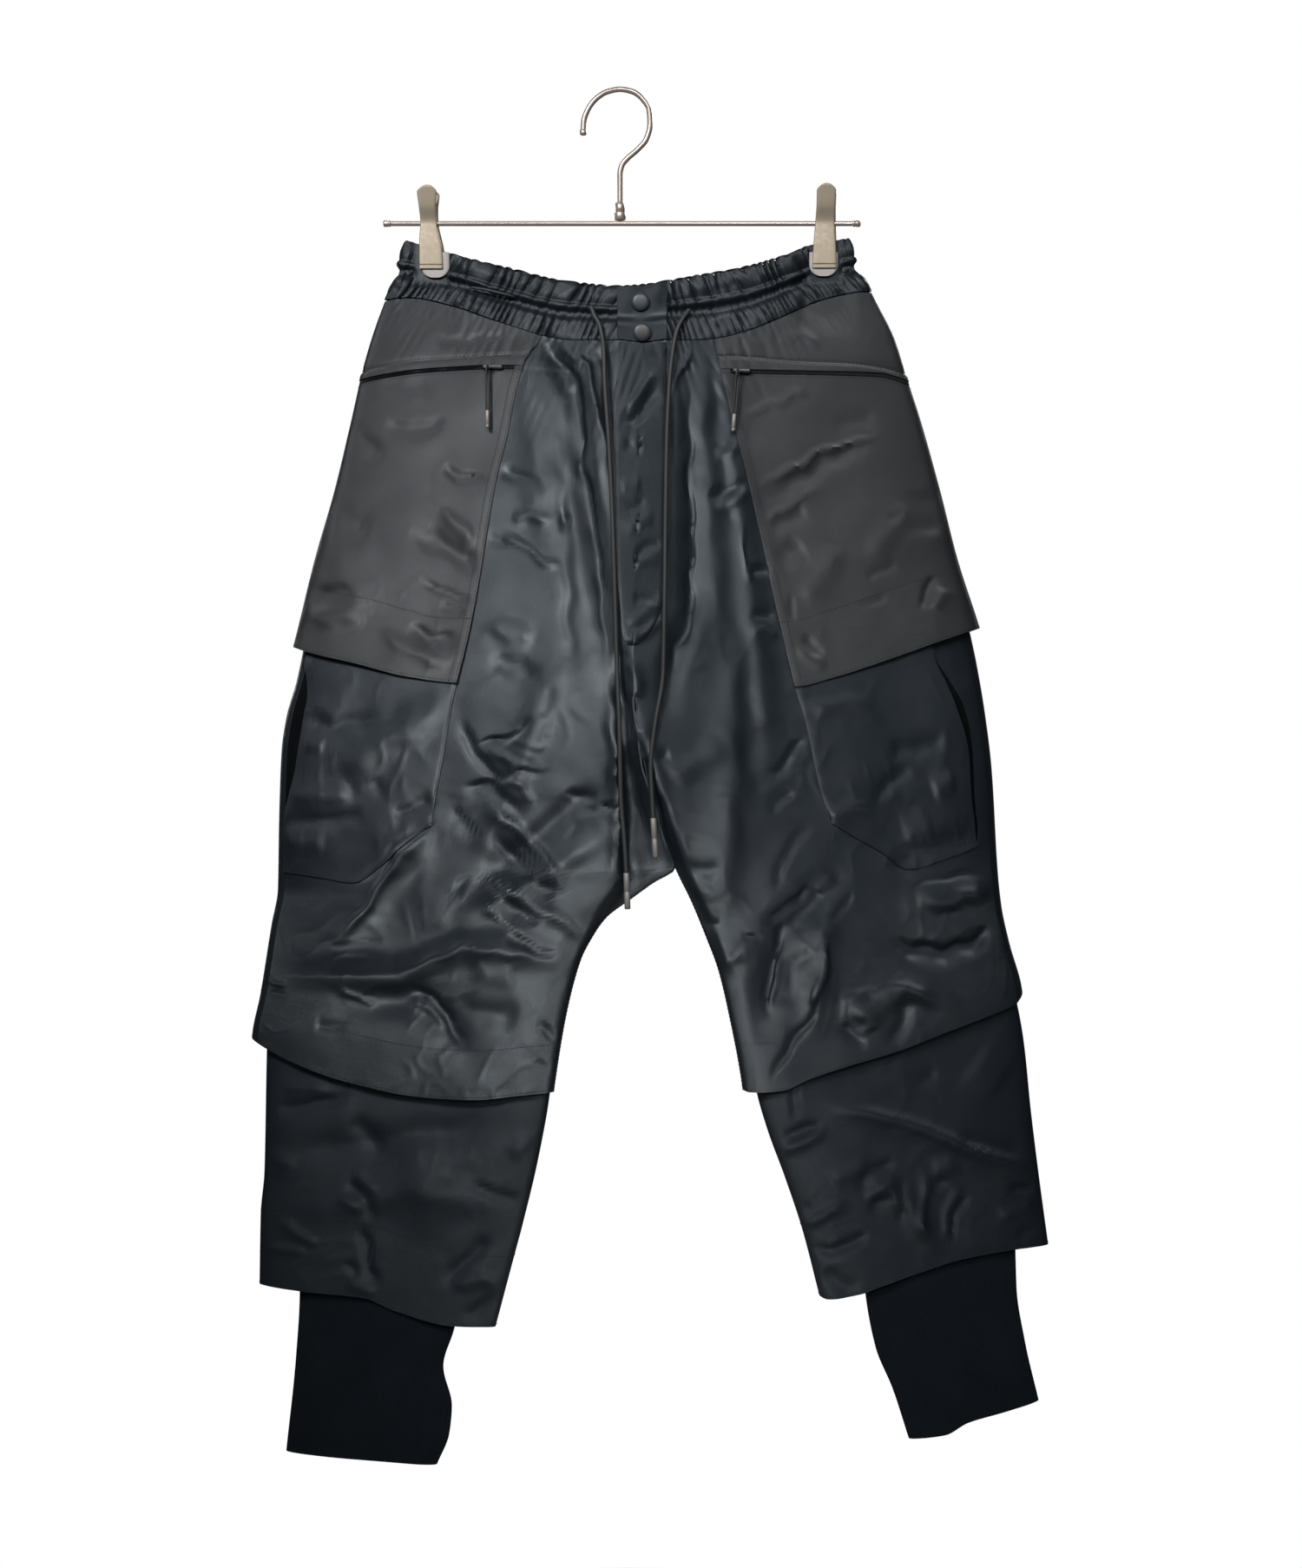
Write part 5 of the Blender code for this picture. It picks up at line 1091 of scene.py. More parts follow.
# %% Routes of the cords, in metres
DRAWCORD = {
    "l": [(-0.023, -0.0127, -0.177), (-0.021, -0.0151, -0.183), (-0.016, -0.0174, -0.193),
          (-0.013, -0.0195, -0.212), (-0.012, -0.0219, -0.24), (-0.009, -0.0245, -0.283), (-0.006, -0.0253, -0.341),
          (-0.004, -0.0269, -0.4), (-0.002, -0.0275, -0.472), (0.0, -0.0292, -0.523), (0.001, -0.0293, -0.572),
          (0.004, -0.0308, -0.61), (0.0054, -0.0318, -0.6335)],
    "r": [(0.056, -0.0119, -0.179), (0.05, -0.0157, -0.188), (0.046, -0.0179, -0.197), (0.043, -0.0197, -0.212),
          (0.04, -0.0215, -0.24), (0.038, -0.0231, -0.283), (0.037, -0.0254, -0.341), (0.036, -0.0281, -0.422),
          (0.035, -0.0271, -0.472), (0.028, -0.0291, -0.518), (0.025, -0.0291, -0.547), (0.026, -0.0291, -0.572),
          (0.027, -0.0297, -0.5895)],
}
CORD_TIPS = {"l": ((5.4, -633.8), (6.4, -663.0)), "r": ((27.0, -589.8), (29.0, -621.6))}
CORD_LOOP = [(-0.12, -0.0094, -0.1605), (-0.116, -0.0117, -0.1613), (-0.108, -0.0127, -0.1628),
             (-0.098, -0.013, -0.1652), (-0.089, -0.0122, -0.1673), (-0.086, -0.0101, -0.1683)]
CORD_RADIUS = 1.9
TIP_RADIUS = 2.4


def step_lengths(route):
    """Lengths of the steps from point to point."""
    return np.linalg.norm(np.diff(route, axis=0), axis=1)


def lengths_to(route):
    """Length of the route up to each of its points."""
    return np.concatenate([[0.0], np.cumsum(step_lengths(route))])


def square_to(axis):
    """A direction square to an axis."""
    return np.cross(axis, (0.0, 1.0, 0.0) if abs(axis[1]) < 0.9 else (1.0, 0.0, 0.0))


def ring_faces(rings, corners, closed=False):
    """Faces from ring to ring of points; an open row of rings is capped at both ends."""
    faces = [(ring * corners + i, ring * corners + (i + 1) % corners,
              (ring + 1) % rings * corners + (i + 1) % corners, (ring + 1) % rings * corners + i)
             for ring in range(rings if closed else rings - 1) for i in range(corners)]
    if not closed:
        faces += [tuple(range(corners))[::-1], tuple(range((rings - 1) * corners, rings * corners))]
    return faces


def smooth_route(route, spacing):
    """Points every `spacing` along a smooth curve through the route's points."""
    route = np.array(route, float)
    lengths = lengths_to(route)
    count = max(2, int(round(lengths[-1] / spacing)) + 1)
    at = np.linspace(0.0, lengths[-1], count)
    return np.stack([smooth_table(list(zip(lengths, route[:, axis])), at) for axis in range(3)], -1)


def tube(name, route, radius, material, sides=16, body=TROUSERS, closed=False):
    """A round tube along a route in millimetres; `closed` makes it a ring, else both ends are capped."""
    route = np.asarray(route, float)
    count = len(route)
    if closed:
        ahead = np.roll(route, -1, axis=0) - np.roll(route, 1, axis=0)
    else:
        ahead = np.gradient(route, axis=0)
    ahead /= np.linalg.norm(ahead, axis=1, keepdims=True)
    side_step = square_to(ahead[0])
    points = []
    for number in range(count):
        side_step = side_step - ahead[number] * side_step.dot(ahead[number])
        side_step /= np.linalg.norm(side_step)
        other = np.cross(ahead[number], side_step)
        size = radius[number] if np.ndim(radius) else radius
        for turn in np.linspace(0, 2 * math.pi, sides, endpoint=False):
            points.append(route[number] + (side_step * math.cos(turn) + other * math.sin(turn)) * size)
    uv = [(turn / sides * 2 * math.pi * 2, length) for length in lengths_to(route) for turn in range(sides)]
    return add_mesh(name, points, ring_faces(count, sides, closed), material, body, np.array(uv) * MM)


def turned(name, foot, axis, profile, material, sides=32, body=TROUSERS):
    """A turned piece: profile rows are (distance along the axis, radius)."""
    axis = np.array(axis, float) / np.linalg.norm(axis)
    route = [np.array(foot, float) + axis * along for along, _radius in profile]
    across = square_to(axis)
    across /= np.linalg.norm(across)
    other = np.cross(axis, across)
    points = [centre + (across * math.cos(turn) + other * math.sin(turn)) * radius
              for centre, (_along, radius) in zip(route, profile)
              for turn in np.linspace(0, 2 * math.pi, sides, endpoint=False)]
    return add_mesh(name, points, ring_faces(len(profile), sides), material, body)


# %% Drawcords, tips and the small loop
for side in SIDES:
    route = smooth_route(np.array(DRAWCORD[side]) / MM, 3.0)
    cord = tube(f"cord_{side}", route, CORD_RADIUS, cord_grey)
    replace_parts(cord, f"drawcord_{side}")
    (x_top, z_top), (x_foot, z_foot) = CORD_TIPS[side]
    top = np.array([x_top, route[-1, 1], z_top])
    foot = np.array([x_foot, route[-1, 1], z_foot])
    run = np.linalg.norm(foot - top)
    profile = [(0.0, 1.6), (0.15, 2.1), (0.6, TIP_RADIUS), (run * 0.5, TIP_RADIUS), (run * 0.515, 2.1),
               (run * 0.53, 2.1), (run * 0.545, TIP_RADIUS), (run - 0.7, TIP_RADIUS), (run - 0.2, 2.1), (run, 1.6)]
    tip = turned(f"tip_{side}", top, foot - top, profile, tip_grey)
    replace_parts(tip, f"cord_tip_{side}")
route = smooth_route(np.array(CORD_LOOP) / MM, 1.5)
loop = tube("small_loop", route, 1.1, cord_grey)
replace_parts(loop, "cord_loop")

# %% [markdown]
# ## Relief of the cloth
# The main folds are in the sleeves already. Fine folds, gathers that run down from the waist and low waves are
# added as one relief, which every layer shares: what lies on a panel rises and sinks with it, and nothing pokes
# through.

# %% Relief
GATHER_STEP = 9.6
FINE_GATHER_STEP = GATHER_STEP * 0.62
WAIST_AROUND = 102.0
GATHER_LEAN = 0.30
RELIEF_RUN_OUT = 14
SHIN_HALF_WIDTH = 90


def gather_wave(side, s, z, step=GATHER_STEP):
    """Puffs between stitched valleys: about -0.6 in a valley and 0.4 on a puff, uneven in width and height."""
    around = s * WAIST_AROUND
    lean = GATHER_LEAN if side == "l" else -GATHER_LEAN
    sign = np.where(is_behind(s), -1.0, 1.0)
    place = (around * (1 if side == "l" else -1) + sign * lean * (z + 170)) / step
    seed = 11 if side == "l" else 23
    place = place + 0.5 * ripple(around, z * 0.3, 38.0, seed, 6)
    size = np.clip(0.8 + 0.45 * ripple(around, z * 0.3, 26.0, seed + 1, 6), 0.2, 1.6)
    return (np.abs(np.sin(math.pi * place)) ** 0.7 - 0.66) * size


def clip_free(x, z):
    """0 under a clip's jaw and 1 clear of it, beside it or below its foot."""
    free = 1.0
    for clip in CLIP_X.values():
        free = free * ease((np.abs(x - clip) - 10.5) / 7.0)
    return np.maximum(free, ease((-153 - z) / 8))


def waist_run(side, s, z, x):
    """Gathers that run out below the waist seam."""
    below = level(side, "waist", x) - z
    behind = is_behind(s)
    centre = np.exp(-(((x - CENTRE_X) / 95) ** 2))
    reach = np.where(behind, 40.0, 20.0 + 26.0 * centre)
    fade = np.exp(-np.clip(below, 0, None) / reach) * ease((below + 4) / 4)
    fine = gather_wave(side, s, z, FINE_GATHER_STEP) * 0.75
    coarse = gather_wave(side, s, z)
    spread = ease(below / 14)
    return 2.2 * (fine * (1 - spread) + coarse * spread) * fade


def body_relief(side, s, z, x):
    """Relief of the body's cloth, front and back."""
    behind = is_behind(s)
    low_half = ease((-380 - z) / 160)
    waves = np.where(behind,
                     0.55 * ripple(x, z, 85.0, 31) + 0.14 * ripple(x, z, 30.0, 32),
                     0.60 * ripple(x, z, 80.0, 41) + 0.13 * ripple(x, z, 28.0, 42))
    waves = waves + (0.15 + 0.45 * low_half) * crumple(x, z, 34.0, 43)
    wobble = 1.6 * ripple(x, z, 30.0, 51)
    bent_x, bent_z = x + wobble, z + 1.2 * ripple(x, z, 24.0, 52)
    folds = np.where(behind, fold_height(FINE_BACK, bent_x, bent_z, 0.0),
                     fold_height(FINE_FRONT, bent_x, bent_z, 0.0))
    _middle, half = middle_and_half(side, z)
    across, _deep, _face = section(s, crotch_open(z))
    from_outside = ease((1 - across) * np.abs(half) / RELIEF_RUN_OUT)
    from_inside = np.maximum(crotch_open(z), ease((1 + across) * np.abs(half) / RELIEF_RUN_OUT))
    from_waist = ease((level(side, "waist", x) - z) / 18)
    return ((waves + 1.35 * folds) * from_waist + waist_run(side, s, z, x)) * from_outside * from_inside


def on_body(side, s, z, lift):
    """Points of the body's cloth, `lift` out of its face."""
    x = body_point(side, s, z)[..., 0]
    return moved_out(body_point, side, s, z, lift + body_relief(side, s, z, x))


def shin_relief(side, s, z, x):
    """Relief of the lower leg's cloth."""
    behind = is_behind(s)
    waves = np.where(behind, 0.6 * ripple(x, z, 75.0, 61), 0.5 * ripple(x, z, 75.0, 62)) \
        + 0.10 * ripple(x, z, 26.0, 63) + 0.5 * crumple(x, z, 34.0, 65)
    wobble = 1.6 * ripple(x, z, 30.0, 64)
    folds = fold_height(FINE_SHIN, x + wobble, np.where(behind, z + 14, z), 0.0)
    across, _deep, _face = section(s, 0.0 * z)
    return (waves + 1.3 * folds) * ease((1 - np.abs(across)) * SHIN_HALF_WIDTH / RELIEF_RUN_OUT)


print("relief at the left thigh:", body_relief("l", np.array([0.0]), np.array([-600.0]), np.array([-110.0])).round(2))

# %% [markdown]
# ## Front and back panels
# Each panel is one cut piece from the waist seam to the flared hem. The shell has the real thickness of a lined
# satin. Its grid is about 2.5 mm, which is finer than the sharpest crease. The hems carry a line of stitches.

# %% Panels
BODY_LINES = ("waist", "zip_top", "zip_slot", "zip_low", "hip_hem", "pocket", "crotch", "hem")
BODY_ROWS = (14, 5, 3, 88, 44, 18, 58)
FRONT_COLUMNS = (60, 78)
BACK_COLUMNS = (3, 24, 46)
LEAST_FLAT = 0.012
LEAST_FILL = 0.31


def body_lines(side, top_gap):
    """The body's level lines as functions of x, the zip's slot included."""
    lines = {name: line(side, name) for name in BODY_LINES if name != "zip_slot"}
    lines["waist"] = line(side, "waist", -top_gap)
    lines["zip_slot"] = line(side, "zip_low", ZIP_SLOT)
    return [lines[name] for name in BODY_LINES]


def front_grid(side):
    """The front panel's grid, from the fly over the hip seam to the side seam."""
    places = [at_s(-1 + HALF_GAP), at_x(side, HIP_SEAM[side]), side_seam(side, -HALF_GAP)]
    return settle(side, places, FRONT_COLUMNS, body_lines(side, WAIST_GAP), BODY_ROWS)


def back_grid(side):
    """The back panel's grid, from the side seam round to the centre seam."""
    places = [side_seam(side, HALF_GAP), at_s(1), hip_wrap(side), at_s(3 - HALF_GAP)]
    return settle(side, places, BACK_COLUMNS, body_lines(side, BACK_WAIST_GAP), BODY_ROWS)


def cut_cloth(area, outer, fullness=1.0):
    """Works out a piece's flat cut, its longest row and column and its area, none less than a least value, and keeps
    none of it.
    """
    width = float(np.linalg.norm(np.diff(outer, axis=1), axis=-1).sum(1).max()) * MM * fullness
    length = max(LEAST_FLAT, float(np.linalg.norm(np.diff(outer, axis=0), axis=-1).sum(0).max()) * MM)
    flat_area = min(area * 1e-6 * fullness, width * length)
    flat_area = max(flat_area, LEAST_FILL * width * length)


GRIDS = {}
for side in SIDES:
    for name, grid in (("front", front_grid(side)), ("back", back_grid(side))):
        GRIDS[name, side] = grid
        s, z = grid
        outer = on_body(side, s, z, 0.0)
        inner = on_body(side, s, z, -CLOTH)
        panel, area = shell(f"panel_{name}_{side}", outer, inner, satin)
        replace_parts(panel, f"{name}_{side}")
        cut_cloth(area, outer)

# %% [markdown]
# ## Hip yoke, welt, flared flap and pocket
# The first tier lies over the hip: a yoke, the zip under a narrow welt, and a flap that stands off at its hem and
# side. The second tier is the pocket below it, open along the side. They are the same cloth, moved out from the
# body's own points by the height at which each of them lies. The hip pieces wear a lighter, shinier copy of the
# satin, which is painted light, and the pocket a slightly duller copy, which is painted shade.


# %% Hip layer
def row_of(name):
    """Number of the grid's row that lies on a level line."""
    return sum(BODY_ROWS[: BODY_LINES.index(name)])


def hip_lift(side, s, z, x):
    """Height of the hip pieces' inner face over the body: seated at the seam, flared at the side and hem."""
    hem = level(side, "hip_hem", x)
    top = level(side, "zip_low", x)
    down = np.clip((top - z) / (top - hem), 0.0, 1.0)
    seam = front_place(side, smooth_table(HIP_SEAM[side], z), z)
    toward_side = ease((s - seam) / (1 - seam))
    past_side = 1 - 0.75 * ease((s - 1.1) / 0.45)
    return SEAM + 0.2 * toward_side + 1.9 * down**2 + 5.0 * down**1.3 * toward_side * past_side


def hip_block(side, first, last, gap_above, gap_below):
    """Grid of a hip piece between two rows: the front's outer columns, then the back's up to the wrap."""
    front_s, front_z = GRIDS["front", side]
    back_s, back_z = GRIDS["back", side]
    rows = slice(row_of(first), row_of(last) + 1)
    wrap = BACK_COLUMNS[0] + BACK_COLUMNS[1] + 1
    s = np.concatenate([front_s[rows, FRONT_COLUMNS[0]:], back_s[rows, 1:wrap]], 1)
    z = np.concatenate([front_z[rows, FRONT_COLUMNS[0]:], back_z[rows, 1:wrap]], 1)
    z[0] -= gap_above
    z[-1] += gap_below
    return s, z


def hip_piece(name, node, side, block, thickness, material, edges):
    """A piece of the hip layer that replaces its solid."""
    s, z = block
    x = body_point(side, s, z)[..., 0]
    lift = hip_lift(side, s, z, x)
    inner = on_body(side, s, z, lift)
    outer = on_body(side, s, z, lift + thickness * sewn_edge(inner, edges))
    piece, area = shell(f"{name}_{side}", outer, inner, material)
    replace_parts(piece, f"{node}_{side}")
    return piece, area, outer


for side in SIDES:
    half = SEAM / 2
    # The yoke, welt and flap wear the hips' lighter, shinier satin, which is painted light.
    for name, node, first, last, above, below, thick, cloth, edges in (
            ("yoke", "hip_yoke", "waist", "zip_top", SEAM, half, CLOTH, hip_satin_painted_light, ("first", "last", "bottom")),
            ("welt", "zip_welt", "zip_top", "zip_slot", half, half, WELT, hip_satin_painted_light, ("first", "last", "top")),
            ("tape", "zip_tape", "zip_slot", "zip_low", half, half, TAPE, lining_and_shade, ()),
            ("flap", "hip_panel", "zip_low", "hip_hem", half, 0.0, CLOTH, hip_satin_painted_light, ("first", "last"))):
        piece, area, outer = hip_piece(name, node, side, hip_block(side, first, last, above, below), thick, cloth,
                                       edges)
        if name != "tape":
            cut_cloth(area, outer)

# %% Where a zip ends, a few millimetres before the seam
for side in SIDES:
    outer, inner = WALLS[f"tape_{side}"]
    ends = slice(0, 5)
    normal = (outer - inner)[:, ends] / TAPE
    low = outer[:, ends] + 0.1 * normal
    high = inner[:, ends] + CLOTH * normal
    # The zip's ends wear the hips' lighter satin too, which is painted light.
    shell(f"zip_end_{side}", high, low, hip_satin_painted_light)


# %% Pockets of the second tier: for the mouth, (height z, how far it is drawn in, width of the painted shade in the opening)
MOUTH_ROWS_ABOVE = 14


def pocket_lift(s, z):
    """Height of the pocket's inner face: seated at its seams, lifted along the side opening."""
    around = np.linspace(0.0, 1.0, s.shape[1])[None, :]
    down = np.linspace(0.0, 1.0, s.shape[0])[:, None]
    opened = ease((around - 0.55) / 0.45) * np.sin(math.pi * np.clip(down * 1.15 - 0.15, 0, 1))
    return SEAM + 2.6 * opened


MOUTH = {
    "l": [(-440, 0, 0), (-463, 0, 0), (-480, 6, 6), (-501, 11, 14), (-518, 11, 14), (-544, 9.5, 12), (-571, 4.7, 8),
          (-590, 0.5, 3), (-600, 0, 0), (-680, 0, 0)],
    "r": [(-440, 29, 0), (-460, 29, 1), (-480, 24, 4.5), (-501, 19, 7), (-536, 14, 4.4), (-571, 15, 3.5),
          (-600, 13, 2.6), (-611, 12, 0.5), (-624, 0, 0), (-680, 0, 0)],
}
for side in SIDES:
    s, z = GRIDS["front", side]
    rows = slice(row_of("hip_hem") - MOUTH_ROWS_ABOVE, row_of("pocket") + 1)
    s = s[rows, FRONT_COLUMNS[0]:].copy()
    z = z[rows, FRONT_COLUMNS[0]:].copy()
    drawn_in = read_column(MOUTH[side], 1, z) / USUAL_HALF_WIDTH
    dark = read_column(MOUTH[side], 2, z[:, -1:]) / USUAL_HALF_WIDTH
    share = (s - s[:, :1]) / (s[:, -1:] - s[:, :1])
    mouth_s = s[:, -1:] - drawn_in[:, -1:] - 0.03 + (dark + 0.03) * np.linspace(0.0, 1.0, 9)
    mouth_s = np.minimum(mouth_s, s[:, -1:])
    mouth_z = z[:, -1:] + 0 * mouth_s
    # A thin matte black sheet over the body in the pocket's opening is painted shade, for the shade inside the open
    # pocket.
    low = on_body(side, mouth_s, mouth_z, 0.05)
    high = on_body(side, mouth_s, mouth_z, 0.22)
    shell(f"pocket_mouth_{side}", high, low, lining_and_shade)
    s = s - drawn_in * share**2
    lift = pocket_lift(s, z)
    inner = on_body(side, s, z, lift)
    outer = on_body(side, s, z, lift + CLOTH * sewn_edge(inner, ("first",)))
    # The pocket wears the slightly duller satin, which is painted shade.
    piece, area = shell(f"pocket_{side}", outer, inner, pocket_satin_painted_shade)
    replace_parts(piece, f"cargo_pocket_{side}")
    cut_cloth(area, outer)

# %% [markdown]
# ## Lower legs and rib cuffs
# Under the flared hem a narrower tube carries on, and inside its own hem sits a rib cuff. A rib knit is columns of
# stitches that stand up and lie back in turn, so the cuff's shell has real ribs, each a little over two
# millimetres.

# %% Lower legs
SHIN_COLUMNS = 150
RIB = 2.0
LEG_START_Z = -900.0


def round_grid(side, count, lines, row_counts, inner_rows, outer_rows):
    """Places and heights once round a tube."""
    places = np.linspace(-1.0, 3.0, count, endpoint=False)[None, :]
    steps = even_steps(row_counts)
    s = np.repeat(places, len(steps), 0)
    z = np.full(s.shape, LEG_START_Z)
    for _ in range(SETTLINGS):
        middle, half = middle_and_half(side, z, inner_rows, outer_rows)
        across, _deep, _face = section(s, 0.0 * z)
        lay_rows(z, middle + half * across, lines, steps)
    return s, z


def seat_line(side):
    """Where the lower leg is sewn in, above the hem."""
    return lambda x: 0.4 * level(side, "crotch", x) + 0.6 * level(side, "hem", x)


def on_shin(side, s, z, lift):
    """Points of the lower leg's cloth, `lift` out of its face."""
    x = shin_point(side, s, z)[..., 0]
    return moved_out(shin_point, side, s, z, lift + shin_relief(side, s, z, x))


for side in SIDES:
    lines = [seat_line(side), line(side, "hem"), line(side, "cuff_seam"), line(side, "shin_hem")]
    counts = (16, 34, 24)
    s, z = round_grid(side, SHIN_COLUMNS, lines, counts, SHIN_INNER, SHIN_OUTER)
    seated = 1 - ease(np.arange(s.shape[0]) / counts[0])[:, None, None]
    walls = [seated * on_body(side, s, z, lift - CLOTH - SEAM) + (1 - seated) * on_shin(side, s, z, lift)
             for lift in (0.0, -CLOTH)]
    # The lower leg wears the duller satin, which is painted shade.
    piece, area = shell(f"shin_{side}", walls[0], walls[1], leg_satin_painted_shade, closed=True)
    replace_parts(piece, f"lower_leg_{side}")
    cut_cloth(area, walls[0])

# %% Rib cuffs
RIBS = 118
RIB_COLUMNS = 3 * RIBS
for side in SIDES:
    lines = [line(side, "cuff_seam"), line(side, "shin_hem"), line(side, "cuff_hem")]
    counts = (10, 36)
    s, z = round_grid(side, RIB_COLUMNS, lines, counts, CUFF_INNER, CUFF_OUTER)
    seated = 1 - ease(np.arange(s.shape[0]) / counts[0])[:, None, None]
    ribs = 0.35 * np.where(np.arange(RIB_COLUMNS) % 3 == 1, 1.0, -0.5)[None, :]
    across, _deep, _face = section(s, 0.0 * z)
    slack = 0.9 * ripple(s * 60, z, 70.0, 71) * ease((1 - np.abs(across)) * 3)
    walls = [seated * on_shin(side, s, z, lift - CLOTH - SEAM)
             + (1 - seated) * moved_out(cuff_point, side, s, z, slack + lift + (ribs if lift == 0 else 0 * ribs))
             for lift in (0.0, -RIB)]
    piece, area = shell(f"cuff_{side}", walls[0], walls[1], rib_knit, closed=True)
    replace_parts(piece, f"rib_cuff_{side}")
    cut_cloth(area, walls[0])

# %% [markdown]
# ## Waistband
# An elastic is sewn into the band in two channels with the cord's channel between them, and it gathers the cloth
# into puffs between sharp stitched valleys. A table gives the band's profile down its height; the gathers are a
# wave along it that is uneven in width and height and leans outward on either side.

# %% Band profile: share of the height, how far it puffs out, how strong the gathers are
BAND_ROWS = [(0.0, -0.2, 0.8), (0.06, 0.9, 1.0), (0.18, 1.6, 1.15), (0.30, 0.8, 1.1), (0.345, 0.2, 0.9),
             (0.39, 1.7, 0.7), (0.43, 1.6, 0.65), (0.475, -0.6, 0.6), (0.52, -2.3, 0.6), (0.58, -2.2, 0.6),
             (0.63, -0.6, 0.8), (0.70, 0.9, 1.0), (0.82, 1.2, 1.2), (0.93, 0.9, 1.1), (1.0, 0.5, 0.9)]
BAND_STEPS = 40
BAND_COLUMNS = {"l": 270, "r": 240}
BAND_FULLNESS = 1.25
GATHER_DEPTH = 2.7
BAND = 1.6
PLACKET = {"l": -2.0, "r": 38.0}


def band_grid(side, places, counts, rise):
    """Grid of a stretch of band from its top edge to the waist seam."""
    def top(x):
        """The band's top edge, raised a little behind."""
        return level(side, "band_top", x) + rise * ease((1 - np.abs(x - 10) / 190) * 2)

    return settle(side, places, counts, [top, line(side, "waist")], (BAND_STEPS,))


def band_walls(side, s, z):
    """Outer and inner face of the gathered band."""
    share = np.linspace(0.0, 1.0, BAND_STEPS + 1)[:, None]
    puff = read_column(BAND_ROWS, 1, share)
    strength = read_column(BAND_ROWS, 2, share)
    x = body_point(side, s, z)[..., 0]
    flat = clip_free(x, z)
    over_yoke = ease((np.abs(x - 3) - 92) / 16) * ease((share - 0.6) / 0.3) * (np.abs(s) < 1.2)
    puff = puff + 1.7 * over_yoke
    lower = ease((share - 0.46) / 0.08)
    wave = gather_wave(side, s, z) * (1 - lower) + gather_wave(side, s, z, FINE_GATHER_STEP) * 0.75 * lower
    lift = (GATHER_DEPTH * wave * strength + puff) * (0.06 + 0.94 * flat)
    lift = lift + 0.25 * ripple(s * WAIST_AROUND, z, 9.0, 91, 10) * flat
    normal = outward(body_point, side, s, z)
    base = body_point(side, s, z)
    outer = base + normal * lift[..., None]
    outer[..., 2] += (1 - share) ** 6 * wave * 1.7 * flat
    return outer, outer - normal * BAND


def band_edge(side):
    """Where the gathered band meets the placket."""
    edge_gap = SEAM / 2 if side == "r" else -SEAM / 2
    return lambda z: front_place(side, np.full(np.shape(z), PLACKET[side] + edge_gap), z)


for side in SIDES:
    places = [band_edge(side), side_seam(side, -HALF_GAP)]
    s, z = band_grid(side, places, (BAND_COLUMNS[side],), 0.0)
    outer, inner = band_walls(side, s, z)
    # The band wears the darker, duller satin, which is painted shade.
    piece, area = shell(f"band_front_{side}", outer, inner, band_satin_painted_shade)
    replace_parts(piece, f"waistband_front_{side}")
    cut_cloth(area, outer, BAND_FULLNESS)

halves = []
for side in SIDES:
    places = [side_seam(side, HALF_GAP), at_s(1), at_s(3 - 1e-9)]
    s, z = band_grid(side, places, (4, 200), BACK_RISE)
    halves.append(band_walls(side, s, z))
outer = np.concatenate([halves[0][0], halves[1][0][:, -2::-1]], 1)
inner = np.concatenate([halves[0][1], halves[1][1][:, -2::-1]], 1)
# The back band wears the darker, duller satin as well, which is painted shade.
piece, area = shell("band_back", outer, inner, band_satin_painted_shade)
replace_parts(piece, "waistband_back")
cut_cloth(area, outer, BAND_FULLNESS)


# %% A facing inside the waist seam
for side in SIDES:
    rise = np.array([5.0, 0.0, -5.0])[:, None]
    s = np.linspace(-1.0, 3.0, 161)[None, :] + 0 * rise
    z = level(side, "waist", body_point(side, s, -180 + 0 * s)[..., 0]) + rise
    face = moved_out(body_point, side, s, z, -3.2 + 0 * z)
    back = moved_out(body_point, side, s, z, -3.6 + 0 * z)
    shell(f"waist_facing_{side}", face, back, lining_and_shade)

# %% [markdown]
# ## Fly and placket
# A smooth stretch of band carries the two snaps, and under it the fly's shield runs down to a curved foot.

# %% Placket and fly
def front_surface(x, z, distance, relief=1.0):
    """Points over the front of the body at x, z, on the side that x falls on."""
    shape = np.broadcast(x, z).shape
    x = np.broadcast_to(x, shape).astype(float)
    z = np.broadcast_to(z, shape).astype(float)
    centre = smooth_table(BODY_INNER["l"], z)
    found = {}
    for side in SIDES:
        s = np.clip(front_place(side, x, z), -0.999, 0.999)
        raised = body_relief(side, s, z, x) * relief
        found[side] = moved_out(body_point, side, s, z, np.broadcast_to(distance, shape) + raised)
    return np.where((x < centre)[..., None], found["l"], found["r"])


across = np.linspace(0.0, 1.0, 25)[None, :]
down = np.linspace(0.0, 1.0, 33)[:, None]
x = PLACKET["l"] + SEAM / 2 + (PLACKET["r"] - PLACKET["l"] - SEAM) * across + 0 * down
foot = np.where(x < CENTRE_X, level("l", "waist", x), level("r", "waist", x)) + 0.1
top = np.where(x < CENTRE_X, level("l", "band_top", x), level("r", "band_top", x))
z = top + (foot - top) * down
ridge = 0.9 * np.exp(-(((down - 0.585) / 0.045) ** 2)) - 0.5 * np.exp(-(((down - 0.66) / 0.04) ** 2))
bow = 0.5 * ripple(x, z, 26.0, 81)
outer = front_surface(x, z, 1.0 + ridge + bow, 0.0)
inner = front_surface(x, z, -1.6 + bow, 0.0)
placket, area = shell("placket", outer, inner, satin)
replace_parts(placket, "waist_placket")
cut_cloth(area, outer)

